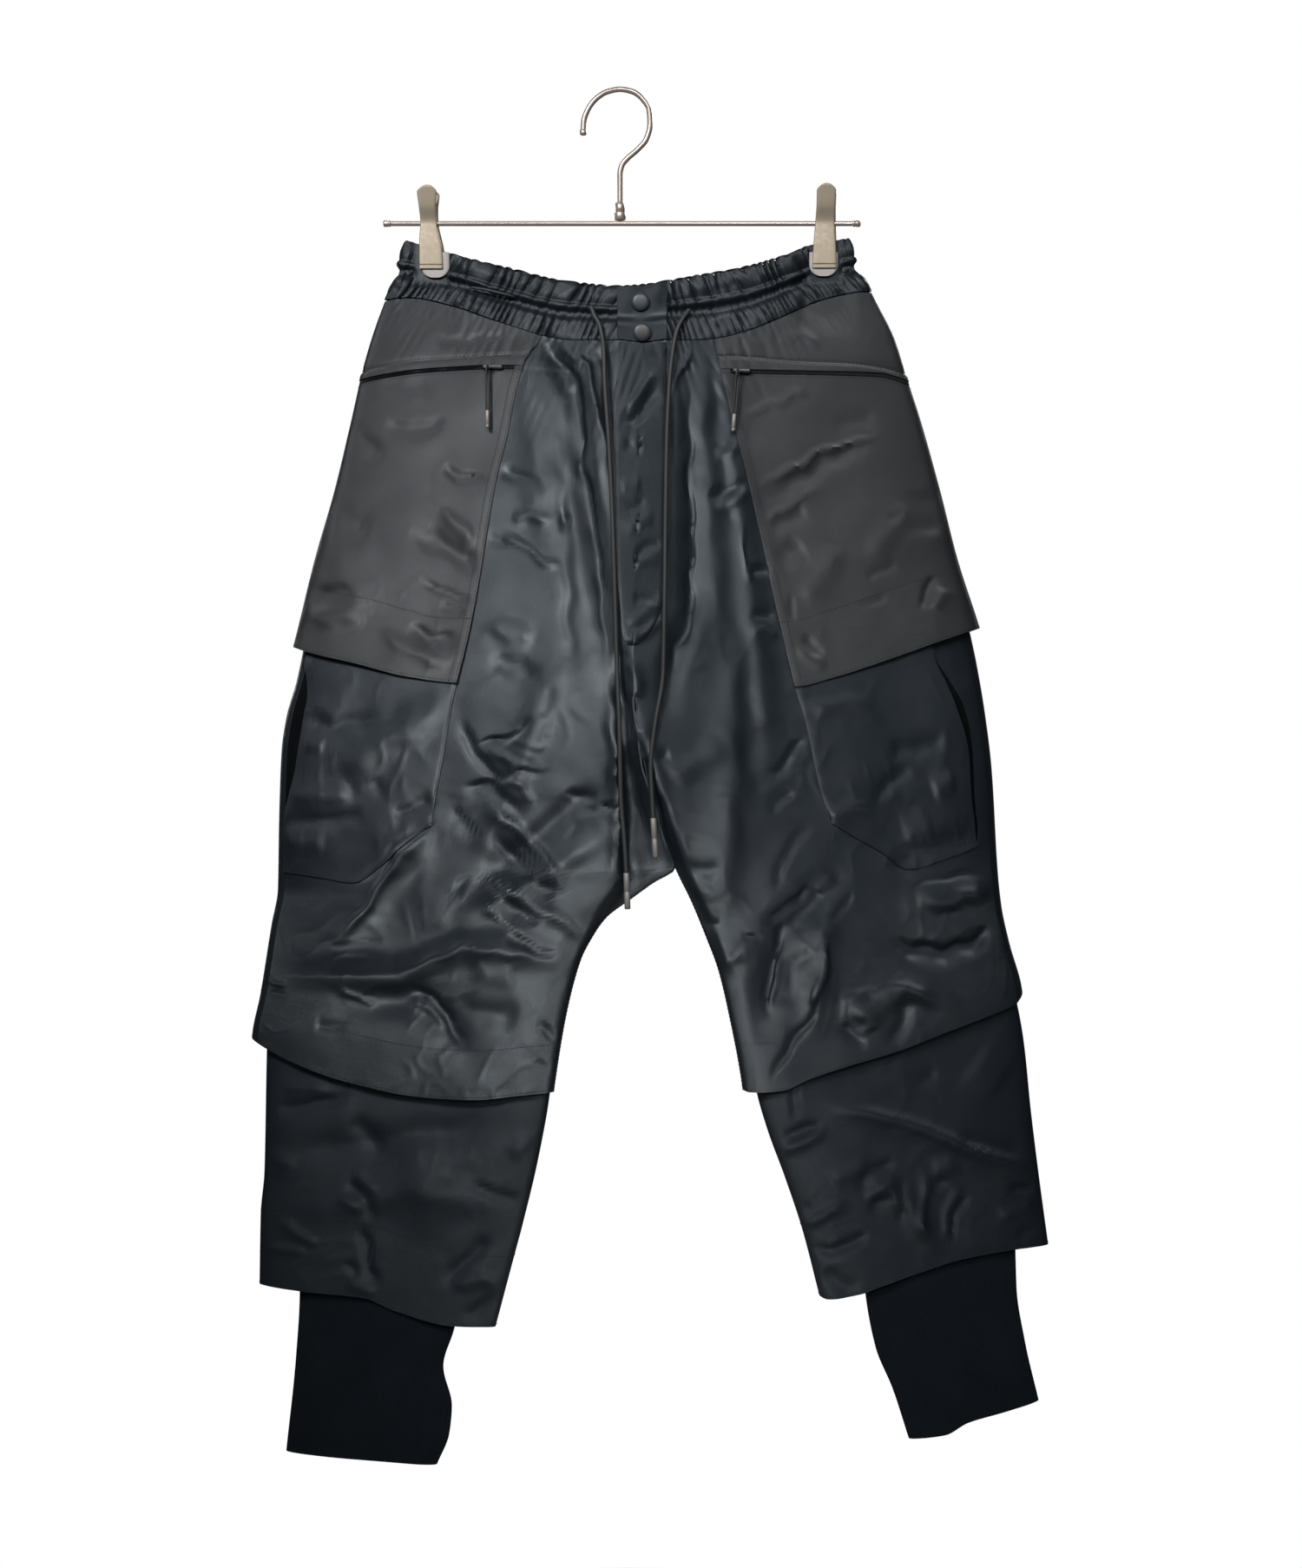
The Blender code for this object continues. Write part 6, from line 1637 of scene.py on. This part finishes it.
# The fly: (height z, left edge x, right edge x).
FLY_ROWS = [(-205.6, -1, 38), (-240, -3, 38), (-275, -5, 38), (-310, -5, 38), (-345, -5, 37), (-380, -4, 37),
            (-405, -3, 36), (-425, -1, 32), (-440, 2, 25), (-449, 5, 16)]
fly_z = np.linspace(FLY_ROWS[0][0], float(FLY_ROWS[-1][0]), 100)[:, None]
left = read_column(FLY_ROWS, 1, fly_z)
right = read_column(FLY_ROWS, 2, fly_z)
x = left + (right - left) * across
z = fly_z - 1.6 * np.sin(math.pi * across)
inner = front_surface(x, z, 0.5 + 0.5 * np.sin(math.pi * across), 0.75)
outer = front_surface(x, z, 0.5 + 0.5 * np.sin(math.pi * across)
                      + CLOTH * sewn_edge(inner, ("first", "last", "bottom"), 3.0, 0.1), 0.75)
fly, area = shell("fly", outer, inner, satin)
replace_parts(fly, "fly_front")
cut_cloth(area, outer)

# %% Snaps
SNAP_PROFILE = [(0.0, 6.7), (0.5, 7.25), (1.1, 7.25), (1.5, 7.0), (1.75, 6.5), (1.85, 6.3), (2.05, 6.0),
                (2.35, 4.6), (2.52, 3.0), (2.6, 1.2)]
for name, x, z in (("snap_upper", 16.8, -172.6), ("snap_lower", 18.2, -197.6)):
    low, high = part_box(name)
    cap = turned(f"{name}_cap", (x, high[1] / MM, z), (0, -1, 0), SNAP_PROFILE, snap_grey, 48)
    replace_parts(cap, name)
    print(name, "is", round(2 * max(radius for _along, radius in SNAP_PROFILE), 1), "mm across")

# %% [markdown]
# ## Zip hardware
# A slider runs on each zip. Its body is a small cast lozenge with soft edges, its crown an arch of wire. Round the
# crown's bar hangs a loop of thin cord with a two-part tip. Loop and tip swing about the bar, so they ride on the
# pull's own body.

# %% Sliders and pulls
ZIPS = {"l": ((-110.5, -94.5), 0.0), "r": ((91.0, 105.5), -2.6)}
HINGE = {"l": (-106.5, -23.167, -227.345), "r": (95.0, -23.528, -230.317)}
SLIDER_THICK = 2.2
HINGE_STAND = 3.1
PULL_CORD = 0.75
PULL_LENGTH = 33.0


def lozenge(name, centre, along, down, size, thick, material):
    """A cast block with a soft outline and rounded edges; `size` is half its length and half its height."""
    out = np.cross(down, along)
    out = out if out[1] < 0 else -out
    turns = np.linspace(0, 2 * math.pi, 48, endpoint=False)
    across = np.sign(np.cos(turns)) * np.abs(np.cos(turns)) ** 0.55
    height = np.sign(np.sin(turns)) * np.abs(np.sin(turns)) ** 0.55 * (0.82 + 0.18 * np.cos(turns * 2))
    rings = []
    for stand, inset in ((0.0, 0.3), (0.25, 0.0), (thick - 0.5, 0.0), (thick - 0.15, 0.25), (thick, 0.7)):
        rings.append(centre + out * stand + along * (across * (size[0] - inset))[:, None]
                     + down * (height * (size[1] - inset))[:, None])
    points = np.concatenate(rings)
    faces = ring_faces(len(rings), len(turns))
    first = points[list(faces[0])]
    if np.cross(first[1] - first[0], first[2] - first[0]).dot(first[0] - centre) < 0:
        faces = [face[::-1] for face in faces]
    return add_mesh(name, points, faces, material)


for side in SIDES:
    (first, last), slant = ZIPS[side]
    x = np.array([first, (first + last) / 2, last])
    seat = front_surface(x, level(side, "zip_low", x) + ZIP_SLOT / 2, SEAM + WELT + SEAM, 0.0)
    along = (seat[2] - seat[0]) / np.linalg.norm(seat[2] - seat[0])
    down = np.cross(along, (0.0, -1.0, 0.0))
    down = down if down[2] < 0 else -down
    slider = lozenge(f"slider_{side}", seat[1], along, down, (np.linalg.norm(seat[2] - seat[0]) / 2, 2.7),
                     SLIDER_THICK, zip_black)
    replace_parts(slider, f"zip_slider_{side}")
    pivot = np.array(HINGE[side])
    arch = [pivot + along * a + np.array([0.0, back, 0.0]) for a, back in
            ((3.0, HINGE_STAND + 1.0), (3.0, 0.9), (2.6, 0.2), (1.8, 0.0), (-1.8, 0.0), (-2.6, 0.2), (-3.0, 0.9),
             (-3.0, HINGE_STAND + 1.0))]
    tube(f"crown_{side}", smooth_route(arch, 0.5), 0.55, zip_black, 14)
    wrap = 0.9 + PULL_CORD
    strand = [(-1.0 * min(1.0, 0.6 + share), -wrap * 0.35 * (1 - share), -PULL_LENGTH * share)
              for share in (1.0, 0.75, 0.5, 0.3)]
    loop = strand + [(-0.9, -wrap * 0.8, -4.0), (-0.85, -wrap, -1.2)]
    loop += [(-0.85 + 1.7 * turn / 6, -wrap * math.cos(math.pi * turn / 6), wrap * math.sin(math.pi * turn / 6))
             for turn in range(1, 6)]
    loop += [(0.85, wrap, -1.2), (0.9, wrap * 0.8, -4.0)] + [(-x, -y, z) for x, y, z in reversed(strand)]
    route = [pivot + np.array([x + slant * -z / PULL_LENGTH, y, z]) for x, y, z in loop]
    body = "zip_pull_left" if side == "l" else "zip_pull_right"
    pull = tube(f"pull_cord_{side}", smooth_route(route + [route[0]], 0.8)[:-1], PULL_CORD, cord_grey, 12, body, True)
    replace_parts(pull, f"zip_pull_cord_{side}")
    top = pivot + np.array([slant, 0.0, -PULL_LENGTH - PULL_CORD - SEAM])
    metal = [(0.0, 1.0), (0.15, 1.4), (0.5, 1.7), (11.3, 1.7), (11.6, 1.5), (11.8, 1.4), (12.1, 1.6), (13.9, 1.5),
             (14.3, 1.2), (14.4, 0.7)]
    tip = turned(f"pull_tip_{side}", top, (slant * 0.03, 0, -1), metal, tip_grey, 24, body=body)
    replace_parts(tip, f"zip_pull_tip_{side}")
    print("slider and pull", side, "at", pivot)

# %% [markdown]
# ## Stitches and zip teeth
# Both repeat along a line, so one Geometry Nodes tree makes them: it takes lines, walks along them at a pitch and
# sets a small bead at each step, turned to the line. A stitch is a long thin bead, a zip's tooth a short one that
# stands across. The lines are read from the shells, so every stitch lies on its cloth.


# %% The tree that sets beads along lines
def make_bead_tree():
    """Beads of a given size, at a given pitch, along the edges of a mesh."""
    tree = bpy.data.node_groups.new("beads along lines", "GeometryNodeTree")
    tree.interface.new_socket("Geometry", in_out="INPUT", socket_type="NodeSocketGeometry")
    for name, kind in (("Pitch", "NodeSocketFloat"), ("Bead size", "NodeSocketVector"),
                       ("Finish", "NodeSocketMaterial")):
        tree.interface.new_socket(name, in_out="INPUT", socket_type=kind)
    tree.interface.new_socket("Geometry", in_out="OUTPUT", socket_type="NodeSocketGeometry")
    taken = tree.nodes.new("NodeGroupInput")
    given = tree.nodes.new("NodeGroupOutput")
    curve = tree.nodes.new("GeometryNodeMeshToCurve")
    walk = tree.nodes.new("GeometryNodeResampleCurve")
    walk.mode = "LENGTH"
    ball = add_node(tree, "GeometryNodeMeshUVSphere", Segments=6, Rings=4, Radius=0.5)
    sized = tree.nodes.new("GeometryNodeTransform")
    heading = tree.nodes.new("GeometryNodeInputTangent")
    turn = tree.nodes.new("FunctionNodeAlignRotationToVector")
    turn.axis = "X"
    place = tree.nodes.new("GeometryNodeInstanceOnPoints")
    real = tree.nodes.new("GeometryNodeRealizeInstances")
    finish = tree.nodes.new("GeometryNodeSetMaterial")
    join(tree, (taken, "Geometry", curve, "Mesh"), (curve, "Curve", walk, "Curve"), (taken, "Pitch", walk, "Length"),
         (ball, "Mesh", sized, "Geometry"), (taken, "Bead size", sized, "Scale"), (heading, "Tangent", turn, "Vector"),
         (walk, "Curve", place, "Points"), (sized, "Geometry", place, "Instance"),
         (turn, "Rotation", place, "Rotation"), (place, "Instances", real, "Geometry"),
         (real, "Geometry", finish, "Geometry"), (taken, "Finish", finish, "Material"),
         (finish, "Geometry", given, "Geometry"))
    return tree


BEADS = make_bead_tree()


def beads(name, routes, pitch, size, material):
    """One mesh of beads along routes given in millimetres."""
    points = np.concatenate(routes) * MM
    edges = []
    start = 0
    for route in routes:
        edges += [(start + i, start + i + 1) for i in range(len(route) - 1)]
        start += len(route)
    lines = bpy.data.meshes.new(name)
    lines.from_pydata(points.tolist(), edges, [])
    made = put_in_scene(name, lines)
    modifier = made.modifiers.new("beads", "NODES")
    modifier.node_group = BEADS
    given = {"Pitch": pitch * MM, "Bead size": [side * MM for side in size], "Finish": material}
    for item in BEADS.interface.items_tree:
        if item.in_out == "INPUT" and item.name in given:
            modifier[item.identifier] = given[item.name]
    graph = bpy.context.evaluated_depsgraph_get()
    mesh = bpy.data.meshes.new_from_object(made.evaluated_get(graph))
    made.modifiers.clear()
    made.data = mesh
    mesh.shade_smooth()
    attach(made, TROUSERS)
    print(f"{name}: {len(routes)} lines, {len(mesh.polygons)} faces")


print("bead tree:", len(BEADS.nodes), "nodes")


# %% Stitch lines and teeth
def inset_route(name, edge, inset, proud=0.12):
    """A line on a shell's face, `inset` mm inside one of its edges and a little proud of the cloth."""
    outer, inner = WALLS[name]
    if edge in ("top", "bottom"):
        outer, inner = outer.swapaxes(0, 1), inner.swapaxes(0, 1)
    if edge in ("last", "bottom"):
        outer, inner = outer[:, ::-1], inner[:, ::-1]
    away = np.cumsum(np.linalg.norm(np.diff(outer, axis=1, prepend=outer[:, :1]), axis=-1), 1)
    route = []
    for row in range(len(outer)):
        face = np.array([np.interp(inset, away[row], outer[row, :, axis]) for axis in range(3)])
        under = np.array([np.interp(inset, away[row], inner[row, :, axis]) for axis in range(3)])
        route.append(face + (face - under) / np.linalg.norm(face - under) * proud)
    return np.array(route)


STITCHES = [("flap", "first", 1.6), ("flap", "first", 6.4), ("flap", "bottom", 1.8), ("flap", "bottom", 53.0),
            ("yoke", "bottom", 1.5), ("yoke", "first", 1.5), ("welt", "top", 1.2),
            ("flap", "top", 1.5),
            ("pocket", "first", 1.6), ("pocket", "bottom", 1.6), ("pocket", "last", 8.5),
            ("panel_front", "bottom", 1.8), ("panel_back", "bottom", 1.8), ("panel_front", "bottom", 40.0),
            ("panel_back", "bottom", 40.0), ("panel_back", "last", 2.0), ("shin", "bottom", 1.8),
            ("shin", "bottom", 60.0)]
routes = [inset_route(f"{name}_{side}", edge, inset) for name, edge, inset in STITCHES for side in SIDES]
routes += [inset_route("placket", "top", 2.0), inset_route("placket", "bottom", 2.0)]
routes += [inset_route("fly", "first", 2.0), inset_route("fly", "last", 2.0), inset_route("fly", "bottom", 2.0)]
beads("stitches", routes, 3.3, (2.7, 0.5, 0.5), thread)
coils = [inset_route(f"tape_{side}", "top", 1.2, 0.25) for side in SIDES]
coils += [inset_route(f"tape_{side}", "top", 2.4, 0.25) for side in SIDES]
beads("zip_teeth", coils, 1.2, (0.75, 0.7, 1.4), zip_black)

# %% [markdown]
# ## Hanger
# The hanger is a bent wire hook, a turned ferrule, a bar, and two clips pressed from sheet metal. A clip's jaw is
# waisted where it grips the bar, rounded at the top and folded double at its foot; a pale pad under it guards the
# cloth. The jaws are drawn over the solids' own edges, with the sheet's rolled sides added.

# %% Hook, ferrule and bar
HOOK = [(-30, -32), (-29.5, -24), (-26, -14), (-19, -5), (-10, 0.4), (0, 2.25), (10, 0.4), (18.5, -6), (23.6, -15),
        (24.4, -26), (21.5, -38), (14, -47), (6, -54), (1.4, -60), (0.0, -67), (0.0, -78), (0.0, -89.5)]
route = smooth_route([(x, 0.0, z) for x, z in HOOK], 1.2)
hook = tube("hook", route, 2.25, chrome, 24)
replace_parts(hook, "hanger_hook")
CAP = [(0.0, 2.3), (0.3, 2.75), (3.6, 2.75), (4.2, 2.4), (4.5, 1.6), (4.6, 0.6)]
turned("hook_cap", route[0] + (0.1, 0, 1.4), route[0] - route[2], CAP, chrome, 24)
FERRULE = [(0.0, 2.6), (0.3, 3.4), (0.6, 3.8), (7.7, 3.8), (8.0, 3.5), (8.3, 3.5), (8.5, 4.4), (8.9, 4.6),
           (13.6, 4.6), (14.1, 4.3), (14.4, 3.6)]
ferrule = turned("ferrule", (0, 0, -89.8), (0, 0, -1), FERRULE, chrome, 32)
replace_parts(ferrule, "hanger_ferrule")
BAR_ENDS = (-186.0, 189.0)
BAR_Z = -107.0
BAR_RADIUS = 2.0
bar_profile = [(0.0, BAR_RADIUS), (BAR_ENDS[1] - BAR_ENDS[0], BAR_RADIUS)]
bar = turned("bar", (BAR_ENDS[0], 0, BAR_Z), (1, 0, 0), bar_profile, chrome, 28)
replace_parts(bar, "hanger_bar")
BAR_CAP = [(0.0, 2.1), (0.3, 2.5), (1.6, 2.5), (1.8, 2.2), (2.2, 2.2), (2.4, 2.6), (5.4, 2.6), (6.1, 2.1), (6.4, 1.2)]
for side, x, way in (("l", BAR_ENDS[0] - SEAM, -1), ("r", BAR_ENDS[1] + SEAM, 1)):
    cap = turned(f"bar_end_{side}", (x, 0, BAR_Z), (way, 0, 0), BAR_CAP, chrome, 28)
    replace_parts(cap, f"bar_cap_{side}")
print("hook, ferrule, bar and two caps")

# %% Clips: (height z, left edge x, right edge x, distance from the bar's plane)
CLIP_ROWS = {
    "l": [(-79.0, -163.0, -149.5, 10.8), (-82.0, -164.5, -148.4, 10.2), (-94.0, -163.2, -149.4, 7.8),
          (-107.0, -162.2, -148.8, 3.4), (-118.0, -162.8, -146.6, 5.5), (-127.0, -163.0, -144.6, 6.2),
          (-142.0, -162.8, -143.6, 6.6), (-144.4, -162.8, -143.6, 6.6)],
    "r": [(-77.6, 160.8, 174.2, 10.8), (-80.6, 159.6, 175.2, 10.2), (-93.0, 159.4, 174.6, 7.8),
          (-107.0, 158.6, 174.4, 3.4), (-118.0, 157.6, 174.9, 5.5), (-127.0, 156.8, 175.3, 6.2),
          (-141.4, 156.2, 175.8, 6.6), (-143.8, 156.2, 175.8, 6.6)],
}
CLIP_TOP = {"l": -77.2, "r": -75.8}
SHEET = [(0.0, 2.3), (0.0, 1.2), (0.008, 0.6), (0.03, 0.25), (0.07, 0.06), (0.14, 0.0), (0.3, -0.05), (0.5, -0.08)]
PADS = {"l": (-161.3, -138.6, -151.6), "r": (153.8, 176.8, -150.4)}


def jaw(name, side, face, aside, folded):
    """A jaw pressed from sheet: rounded top, rolled sides and, in front, a foot folded double."""
    rows = CLIP_ROWS[side]
    top, foot = CLIP_TOP[side], rows[-1][0]
    z = np.concatenate([top - 6.0 * (1 - np.cos(np.linspace(0.12, math.pi / 2, 12))),
                        np.linspace(top - 7.0, foot + 4.2, 34), np.linspace(foot + 4.0, foot, 21)])[:, None]
    left, right, away = (read_column(rows, column, z) for column in (1, 2, 3))
    round_top = np.sqrt(1 - np.clip(1 - (top - z) / 6.0, 0.0, 1.0) ** 2)
    middle, half = (left + right) / 2, (right - left) / 2 * round_top
    profile = np.array(SHEET + [(1 - share, back) for share, back in SHEET[-2::-1]])
    x = middle + half * (2 * profile[:, 0] - 1) + aside
    back = profile[:, 1] * (0.35 + 0.65 * round_top)
    fold = 0.75 * np.exp(-(((z - foot - 3.0) / 0.35) ** 2)) if folded else 0.0 * z
    lip = 0.25 * ease((foot + 3.0 - z) / 0.6) if folded else 0.0 * z
    outer = np.stack([x, face * (away - back - fold + lip), z + 0 * x], -1)
    pressed = middle + aside + (x - middle - aside) * (1 - 1.4 / np.maximum(half, 2.0))
    inner = np.stack([pressed, face * (away - back - 0.75), z + 0 * x], -1)
    piece, _area = shell(name, outer, inner, clip_metal)
    return piece


for side in SIDES:
    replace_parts(jaw(f"jaw_front_{side}", side, -1.0, 0.0, True), f"clip_front_{side}")
    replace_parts(jaw(f"jaw_back_{side}", side, 1.0, 1.2, False), f"clip_back_{side}")
    left, right, foot = PADS[side]
    turns = np.linspace(0, math.pi / 2, 12)
    z = np.concatenate([np.linspace(-131.0, foot + 9.0, 12), foot + 9.0 * (1 - np.sin(turns[1:]))])[:, None]
    inset = 9.0 * (1 - np.sqrt(1 - np.clip(1 - (z - foot) / 9.0, 0, 0.995) ** 2))
    share = np.concatenate([[0.0, 0.02, 0.06], np.linspace(0.12, 0.88, 9), [0.94, 0.98, 1.0]])[None, :]
    edge = 0.7 * np.exp(-(np.minimum(share, 1 - share) / 0.03) ** 2)
    x = left + inset + (right - left - 2 * inset) * share
    outer = np.stack([x, -5.0 + edge + 0 * x, z + 0 * x], -1)
    pad, _area = shell(f"pad_{side}", outer, outer * (1, 0, 1) + (0, -3.7, 0), pad_pale)
    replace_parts(pad, f"clip_pad_{side}")
